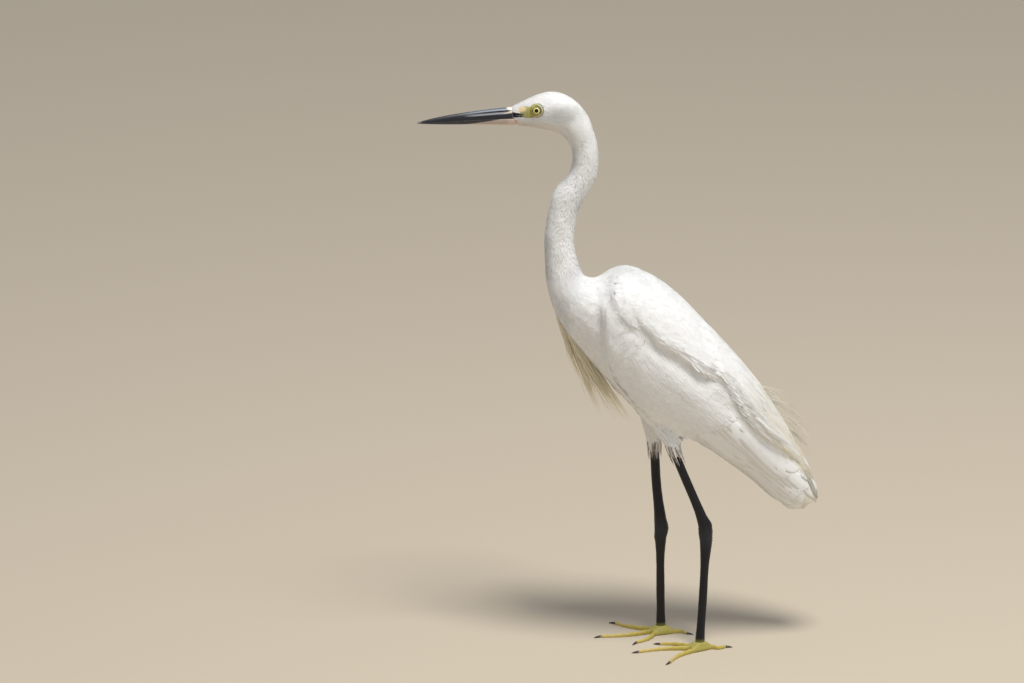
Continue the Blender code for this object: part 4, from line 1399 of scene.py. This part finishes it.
# Plumes of the breast, from the lowest corner of their solid: root, bend and tip (x, z), side, width.
BREAST_LOCKS = (
    ((0.0, 0.0), (7.5, -23.0), (15.5, -48.0), -2.0, 3.4, 34),
    ((4.0, -3.0), (18.0, -41.0), (35.0, -86.0), 1.5, 5.0, 62),
    ((7.0, -11.0), (25.5, -43.0), (48.0, -87.0), -2.5, 4.4, 56),
    ((15.0, -19.0), (39.0, -59.0), (61.0, -93.5), 2.0, 4.0, 46),
)


def breast_plumes(coat):
    rng = np.random.default_rng(51)
    low, high = box_mm("breast_plumes")
    corner = np.array((low[0] + 3.0, high[2] - 5.0))
    parts = []
    for root, bend, tip, side, width, count in BREAST_LOCKS:
        away = np.clip(rng.normal(0, 0.45, (count, 1)), -1, 1)
        deep = rng.normal(0, 0.5, count) * width * 0.8
        cut = rng.uniform(0.62, 1.04, (count, 1))
        lift = rng.uniform(0.0, 1.0, (count, 1)) ** 1.5
        a, b, c = (corner + np.array(p) for p in (root, bend, tip))
        across = np.array((1.0, 0.5)) * away * width
        start = a + np.array((-3.0, 10.0)) * lift + np.array((1.0, 0.45)) * away * width * 1.3
        end = b + (c - b) * (cut * 1.6 - 0.6) + across * rng.uniform(0.1, 1.3, (count, 1))
        mid = b + across * 1.1
        rows = []
        for flat, near in ((start, 1.0), (mid, 0.9), (end, 0.4)):
            y = MID_Y + side + deep * near
            rows.append(np.stack([flat[:, 0], y, flat[:, 1]], axis=1))
        found, _, _ = coat.outline.at(rows[0])
        rows[0] = rows[0] * 0.4 + found * 0.6
        tint = (WHITE * 0.4 + CREAM * 0.6) * (1.04, 1.0, 0.9)
        parts.append(strands(coat, *rows, rng.uniform(0.24, 0.42, count), rng, 8, 0.8, tint))
    add_coat(coat, "breast_strands", parts, ("breast_plumes",))


# Loose plumes that stand off the lower back, from the lowest corner of the cape: root, bend and tip.
BACK_LOCKS = (
    ((135.2, 62.4), (147.0, 57.5), (157.4, 50.0)),
    ((144.0, 51.1), (163.2, 41.3), (178.1, 23.4)),
    ((151.0, 37.2), (171.1, 28.2), (181.9, 4.1)),
    ((157.1, 25.0), (168.5, 17.4), (179.0, 2.3)),
)


def back_plumes(coat):
    """Long fine plumes that run down the back over the rump, some with loose tips."""
    rng = np.random.default_rng(61)
    low, high = box_mm("cape")
    centre = coat.middles
    share = (centre[:, 0] - low[0]) / (high[0] - low[0])
    level = coat.outline.normals[coat.outline.faces[:, 0], 2]
    zone = coat.on("cape") & (share > 0.38) & (share < 0.92)
    zone &= level > 0.1 - smooth_step(share, 0.5, 0.75)
    roots = coat.roots(zone, 0.17, rng, 0.8)
    n = len(roots)
    _, _, lie = coat.outline.at(roots)
    runs = unit(lie + rng.normal(0, 0.035, (n, 3)))
    back = (roots[:, 0] - low[0]) / (high[0] - low[0])
    room = (high[0] - 4.0 - roots[:, 0]) / 0.64
    lengths = np.clip(room * rng.choice((1.0, 1.0, 0.6), n) + rng.normal(0, 4.0, n), 25, 140)
    paths, ups = trace(coat.outline, roots, runs, lengths, 9, 0.1)
    paths = rising(paths, ups, np.full(n, -0.8), rng.uniform(0.1, 0.9, n), 1.0)
    side = unit(np.cross(ups, np.gradient(paths, axis=1)))
    t = np.linspace(0, 1, 10)[None, :, None]
    swing = rng.normal(0, 1.1, (n, 1, 1))
    paths = paths + side * swing * np.sin(np.pi * t * rng.uniform(0.8, 1.8, (n, 1, 1))) * t
    shape = np.interp(np.linspace(0, 1, 10), (0, 0.2, 0.7, 1), (0.8, 1.0, 0.8, 0.0))
    half = rng.uniform(0.3, 0.6, n)
    tint = varied(mix(markings(roots), CREAM, 0.75 * smooth_step(back, 0.35, 0.7)), rng, 0.06)
    parts = [locks(paths, ups, half[:, None] * shape[None], 0.5, root_uv(coat.skin, roots), tint)]
    corner = np.array((low[0], low[2]))
    for root, bend, tip in BACK_LOCKS:
        count = 15
        spread = rng.normal(0, 1.0, (count, 1))
        across = np.array((0.62, 0.78)) * spread
        cut = rng.uniform(0.5, 1.2, (count, 1))
        a, b, c = (corner + np.array(p) for p in (root, bend, tip))
        rows = []
        end = b + (c - b) * cut + across * 2.6
        for flat, near in ((a + across * 2.5, 1.0), (b + across * 3.0, 1.1), (end, 1.4)):
            y = MID_Y + 4.0 * near * np.clip(rng.normal(0, 0.5, count), -1, 1)
            rows.append(np.stack([flat[:, 0], y, flat[:, 1]], axis=1))
        rows[0] = rows[0] * 0.3 + coat.outline.at(rows[0])[0] * 0.7
        fine = rng.uniform(0.16, 0.28, count)
        parts.append(strands(coat, *rows, fine, rng, 8, 1.1, WHITE * 0.3 + CREAM * 0.55))
    add_coat(coat, "back_strands", parts)


# ---------------------------------------------------------------- bill, eyes, legs and feet
UPPER_PROFILE = (
    (0, 0.10, 0.30, 0.50, 0.68, 0.84, 0.94, 1.0),
    (1.0, 1.0, 0.95, 0.83, 0.66, 0.45, 0.26, 0.0),
)
LOWER_PROFILE = ((0, 0.20, 0.45, 0.70, 0.88, 1.0), (1.0, 0.98, 0.88, 0.66, 0.38, 0.0))
GROOVE = {"height": 0.735, "half": 0.05, "depth": 0.16, "deep_to": 16.0, "ends": 46.0}


def bill_rows(name, count):
    """Stations along half of the bill: x, cutting edge, outer edge and half width."""
    points, faces = node_arrays(name)
    low, high = points[:, 0].min() + 0.3, points[:, 0].max() - 3.2
    at = np.linspace(low, high, 26)
    cuts = [section(points, faces, 0, x) for x in at]
    bottom = np.array([c[:, 2].min() for c in cuts])
    top = np.array([c[:, 2].max() for c in cuts])
    half = np.array([np.ptp(c[:, 1]) / 2 for c in cuts])
    beyond = np.array((1.2, 2.2, 3.2, 4.4, 6.0))
    fine = np.append(low + (high - low) * np.linspace(0, 1, count) ** 0.9, high + beyond)
    rows = []
    for v in (bottom, top, half):
        slope = (v[-1] - v[-4]) / (at[-1] - at[-4])
        rows.append(np.interp(fine, at, v) + slope * np.maximum(fine - high, 0))
    kernel = np.array((0.25, 0.5, 0.25))
    for _ in range(3):
        rows = [np.concatenate([v[:1], np.convolve(v, kernel, "valid"), v[-1:]]) for v in rows]
    tuck = 0.9 * smooth_step(fine - high, 2.0, 6.5)
    return fine, rows[0] + tuck, rows[1] - tuck, rows[2] - tuck


def make_bill():
    material = horn_material("bill", 0.34, True)
    tip, base = (corner[0] for corner in box_mm("bill_upper"))
    for name, profile in (("bill_upper", UPPER_PROFILE), ("bill_lower", LOWER_PROFILE)):
        upwards = name == "bill_upper"
        x, bottom, top, half = bill_rows(name, 90)
        edge, outer = (bottom, top) if upwards else (top, bottom)
        share = 1 - np.linspace(1, 0, 26) ** 1.25
        share = np.unique(np.concatenate([share, np.linspace(0.64, 0.82, 10)])) if upwards else share
        width = np.interp(share, *profile)
        rings, tints = [], []
        for i in range(len(x)):
            from_base = base - x[i]
            wide = width * half[i]
            if upwards:
                deep = GROOVE["depth"] * fade(from_base, GROOVE["deep_to"], GROOVE["ends"])
                off = np.abs(share - GROOVE["height"])
                cut, slit = fade(off, 0.0, GROOVE["half"]), fade(off, 0.0, 0.025)
                slit = slit * 0.20 * smooth_step(from_base, 7.0, 8.5) * fade(from_base, 13.0, 15.5)
                wide = wide - half[i] * (deep * cut + slit)
            z = edge[i] + (outer[i] - edge[i]) * share
            left = np.stack([np.full(len(z), x[i]), MID_Y - wide, z], 1)
            right = np.stack([np.full(len(z), x[i]), MID_Y + wide, z], 1)[::-1][1:]
            inner = np.linspace(0.8, -0.8, 5)
            roof = edge[i] + (outer[i] - edge[i]) * 0.12 * (1 - inner**2)
            under = np.stack([np.full(5, x[i]), MID_Y + inner * half[i], roof], 1)
            rings.append(np.concatenate([left, right, under]))
            shares = np.concatenate([share, share[::-1][1:], np.zeros(5)])
            tints.append(bill_colour(upwards, from_base, x[i] - tip, shares))
        points, faces = tube(rings)
        tint = np.concatenate([np.concatenate(tints), tints[0][:1], tints[-1][:1]])
        add_mesh(f"{name}_horn", points, faces, material, tint, replaces=(name,))


def bill_colour(upwards, from_base, from_tip, share):
    """Colour at height shares (0 at the cutting edge) of one station of the bill."""
    colour = plain(BLACK, len(share))
    if upwards:
        # Painted bluish sheen on the ridge above the groove, towards the base.
        side = smooth_step(share, GROOVE["height"] - 0.02, GROOVE["height"] + 0.05)
        colour = mix(colour, RIDGE_SHEEN, side * fade(from_base, 26, 52) * 0.9)
        # Painted highlight: a pale grey streak along the bulge of the upper mandible's side.
        highlight = smooth_step(share, 0.44, 0.52) * fade(share, 0.60, 0.68)
        highlight = highlight * smooth_step(from_base, 2, 7) * fade(from_base, 30, 44)
        colour = mix(colour, BILL_HIGHLIGHT, highlight * 0.8)
        wedge = fade(np.abs(share - 0.62 + from_base * 0.012), 0.0, 0.17 - from_base * 0.014)
        colour = mix(colour, BASE, wedge * fade(from_base, 3.0, 10.0) * 0.9)
        edge = 6.0 * smooth_step(share, 0.45, 0.95) - 1.0
        colour = mix(colour, BILL_EDGE, 0.9 * fade(from_base, edge - 2.2, edge + 0.8))
    else:
        black = np.interp(from_base, (10, 29, 49), (-0.1, 0.38, 1.1))
        pale = smooth_step(share, black, black + 0.14)
        horn = mix(plain(HORN, len(share)), HORN_LOW, smooth_step(share, 0.72, 0.95))
        horn = mix(horn, PINK, fade(share, 0.7, 0.9) * fade(from_base, 0.5, 6.0))
        colour = mix(colour, horn, pale)
    return mix(colour, WORN_TIP, np.full(len(share), 0.7 * fade(from_tip, 0.5, 5)))


def make_eyes():
    material = eye_material()
    for side in SIDES:
        aim = AIMS[side]
        flat = unit(np.cross(aim, (0.0, 0.0, 1.0)))
        up = np.cross(flat, aim)
        radii = [0.3, 0.8, 1.3, PUPIL - 0.08, PUPIL + 0.08, 2.1, 2.6, 3.1, IRIS - 0.1, IRIS + 0.12]
        radii += [3.6, 4.1, 4.7, 5.2, 5.6, 5.95, EYE_RADIUS * 0.999]
        radii = np.minimum(radii, EYE_RADIUS * 0.999)
        heights = np.sqrt(EYE_RADIUS**2 - radii**2)
        radii = np.concatenate([radii, [6.0, 5.0, 3.5, 1.5]])
        heights = np.concatenate([heights, -np.sqrt(EYE_RADIUS**2 - radii[-4:] ** 2)])
        turn = np.linspace(0, 2 * np.pi, EYE_SIDES, endpoint=False)
        circle = np.cos(turn)[:, None] * flat + np.sin(turn)[:, None] * up
        bulge = 0.35 * np.clip(1 - (radii / 4.4) ** 2, 0, 1)
        under = 1 - 0.06 * smooth_step(np.hypot(radii, np.minimum(heights, 0)), 3.9, 5.2)
        rings = zip(radii, heights + bulge, under)
        points, faces = tube([EYES[side] + (aim * h + circle * r) * k for r, h, k in rings])
        radius = np.concatenate([np.repeat(radii, EYE_SIDES), [0, 0]])
        front = np.concatenate([np.repeat(heights, EYE_SIDES), [EYE_RADIUS, -EYE_RADIUS]]) > 0
        tint = plain(BLACK, len(points))
        rays = 0.5 + 0.5 * np.sin(np.concatenate([np.tile(turn * 24, len(radii)), [0, 0]]))
        ring = (radius > PUPIL) & (radius < IRIS) & front
        lemon = mix(plain(LEMON, len(points)), LEMON_RAY, rays * 0.4)
        tint[ring] = lemon[ring]
        add_mesh(f"eyeball_{side}", points, faces, material, tint, replaces=(f"eye_{side}",))


HEEL = {"left": 0.97, "right": 0.5}  # height of the hind corner of a hock, as a share of its solid
INTO_FOOT = 2.6  # how far a leg's end is drawn down into the foot
TOES = ("inner", "middle", "outer", "hind")


def make_leg(side):
    """Black scaled leg from the feathering to the foot."""
    names = [f"{part}_{side}" for part in ("shank", "hock", "tarsus")]
    points, faces = even_surface(names, 0.75, 0.6)
    normals = vertex_normals(points, faces)
    hock_low, hock_high = box_mm(f"hock_{side}")
    middle, half = (hock_low[2] + hock_high[2]) / 2, (hock_high[2] - hock_low[2]) / 2
    front = smooth_step(-normals[:, 0], 0.15, 0.6)
    scute = np.mod(points[:, 2] / 2.9, 1.0)
    lift = 0.16 * (1 - scute) * front
    knee = np.clip(1 - np.abs(points[:, 2] - middle) / (half * 1.1), 0, 1)
    fold = np.sin(points[:, 2] * 2.4 + 1.7 * np.sin(points[:, 1])) * 0.22 * knee
    corner = hock_low[2] + (hock_high[2] - hock_low[2]) * HEEL[side]
    hind = smooth_step(normals[:, 0], 0.3, 0.8)
    heel = 1.3 * hind * np.clip(1 - np.abs(points[:, 2] - corner) / 9.0, 0, 1)
    heel += 0.6 * front * np.clip(1 - np.abs(points[:, 2] - corner + 8.0) / 6.0, 0, 1)
    points = points + normals * (lift + fold + heel - 0.15)[:, None]
    ankle = box_mm(f"tarsus_{side}")[0][2]
    points[:, 2] -= INTO_FOOT * fade(points[:, 2], ankle + 0.6, ankle + 5.0)
    # Painted blue-grey sheen round the hock on the black leg.
    tint = mix(plain(BLACK * 0.4, len(points)), HOCK_SHEEN, knee * 0.6)
    tint = mix(tint, ANKLE, 0.8 * fade(points[:, 2], ankle + 0.3, ankle + 2.2))
    material = scale_material(f"leg_{side}", 0.42)
    add_mesh(f"leg_{side}", points, faces, material, tint, replaces=names)


def make_foot(side):
    toes = [f"toe_{toe}_{side}" for toe in TOES]
    points, faces = even_surface((f"foot_{side}", *toes), 0.5, 0.4)
    normals = vertex_normals(points, faces)
    centre = middle_mm(f"foot_{side}")
    top = smooth_step(normals[:, 2], 0.1, 0.5)
    best = np.full(len(points), 1e9)
    along, left = np.zeros(len(points)), np.full(len(points), 99.0)
    for toe in toes:
        ends = node_arrays(toe)[0]
        tip = ends[np.argmax(np.linalg.norm((ends - centre)[:, :2], axis=1))]
        run = unit((tip - centre) * (1, 1, 0))
        s = (points - centre) @ run
        off = np.linalg.norm((points - centre - s[:, None] * run)[:, :2], axis=1) + 99.0 * (s < 3)
        nearer = off < best
        along[nearer], best[nearer] = s[nearer], off[nearer]
        left[nearer] = ((tip - centre) @ run - s)[nearer]
    scute = np.mod(along / 2.3, 1.0)
    lift = 0.14 * (1 - scute) * top * (best < 6)
    waist = 0.28 * np.sin(along * 2 * np.pi / 15.0) ** 2 * (along > 8) * (np.abs(normals[:, 2]) < 0.9)
    slim = 0.42 * smooth_step(along, 5, 12) * smooth_step(left, 0.5, 7.0)
    inwards = normals * np.where(normals[:, 2:] < 0, (1.0, 1.0, 0.0), (1.0, 1.0, 1.0))
    points = points + normals * (lift - 0.05)[:, None] - inwards * (slim + waist)[:, None]
    points[:, 2] = np.maximum(points[:, 2], 0.0)
    tint = mix(plain(TOE, len(points)), TOE_END, smooth_step(along, 18, 44))
    tint = mix(tint, TOE_ROOT, 0.6 * fade(along, 4, 16))
    tint = tint * (1 - 0.18 * ((scute > 0.85) * top)[:, None])
    material = scale_material(f"toes_{side}", 0.5)
    add_mesh(f"toes_{side}", points, faces, material, tint, replaces=(f"foot_{side}", *toes))


def make_claws(side):
    material = horn_material(f"claw_{side}", 0.4, False)
    for toe in TOES:
        name = f"claw_{toe}_{side}"
        points, faces = even_surface((name,), 0.3, 0)
        run = unit((middle_mm(name) - middle_mm(f"foot_{side}")) * (1, 1, 0))
        share = points @ run
        share = (share - share.min()) / np.ptp(share)
        tint = mix(plain(CLAW_ROOT, len(points)), BLACK, smooth_step(share, 0.1, 0.6))
        add_mesh(f"{name}_horn", points, faces, material, tint, replaces=(name,))


# ---------------------------------------------------------------- stage
CAMERA = {"azimuth": -6.0, "elevation": 18.0, "distance": 20.0, "width": 0.8909}
CAMERA_AIM = (-0.0932, 0.0, 0.2804)
# Name, place, size, watts and colour of each light. Both point at the middle of the bird.
LIGHTS = (
    ("key", (0.35, -0.9, 3.0), 0.9, 78.0, (1.0, 0.98, 0.95)),
    ("fill", (1.8, -1.6, 0.9), 1.6, 7.0, (0.86, 0.92, 1.0)),
)
LIGHT_AIM = (0.0, 0.0, 0.3)
FLOOR_COLOUR = (0.60, 0.52, 0.40, 1.0)
SKY_COLOUR, SKY_STRENGTH = (0.86, 0.90, 1.0, 1.0), 0.40


def make_stage():
    size = 9.0
    corners = ((-size, -size, 0), (size, -size, 0), (size, size, 0), (-size, size, 0))
    mesh = bpy.data.meshes.new("floor")
    mesh.from_pydata(corners, [], [(0, 1, 2, 3)])
    made = Nodes("floor", 0.9)
    made.set(made.shader, Base_Color=FLOOR_COLOUR, Specular_IOR_Level=0.2)
    mesh.materials.append(made.material)
    put("floor", mesh)
    world = bpy.data.worlds.new("studio")
    world.use_nodes = True
    sky = world.node_tree.nodes["Background"].inputs
    sky["Color"].default_value = SKY_COLOUR
    sky["Strength"].default_value = SKY_STRENGTH
    bpy.context.scene.world = world
    bpy.context.scene.view_settings.view_transform = "Standard"


def add_light(name, place, size, watts, colour):
    data = bpy.data.lights.new(name, "AREA")
    data.shape = "DISK"
    data.size = size
    data.energy = watts
    data.color = colour
    light = put(name, data)
    light.location = place
    point_at(light, LIGHT_AIM)


def point_at(obj, aim):
    away = np.array(obj.location) - np.array(aim)
    level = math.hypot(away[0], away[1])
    obj.rotation_euler = (math.pi / 2 - math.atan2(away[2], level), 0.0, math.atan2(away[0], -away[1]))


def make_camera():
    azimuth, elevation = math.radians(CAMERA["azimuth"]), math.radians(CAMERA["elevation"])
    level = np.array((math.sin(azimuth), -math.cos(azimuth), 0.0)) * math.cos(elevation)
    back = level + (0.0, 0.0, math.sin(elevation))
    aim = np.array(CAMERA_AIM) + (0.0, MID_Y * MM, 0.0)
    data = bpy.data.cameras.new("camera")
    data.lens = data.sensor_width * CAMERA["distance"] / CAMERA["width"]
    camera = put("camera", data)
    camera.location = aim + back * CAMERA["distance"]
    point_at(camera, aim)
    bpy.context.scene.camera = camera


def main():
    coat = Coat(make_outline(), make_skin(), coat_material())
    coat_head_and_neck(coat)
    coat_trunk(coat)
    coat_thighs(coat)
    for side in SIDES:
        coat_wing(coat, side)
        make_leg(side)
        make_foot(side)
        make_claws(side)
    coat_tail(coat)
    coat_cape(coat)
    back_plumes(coat)
    breast_plumes(coat)
    make_bill()
    make_eyes()
    make_stage()
    for light in LIGHTS:
        add_light(*light)
    make_camera()


main()
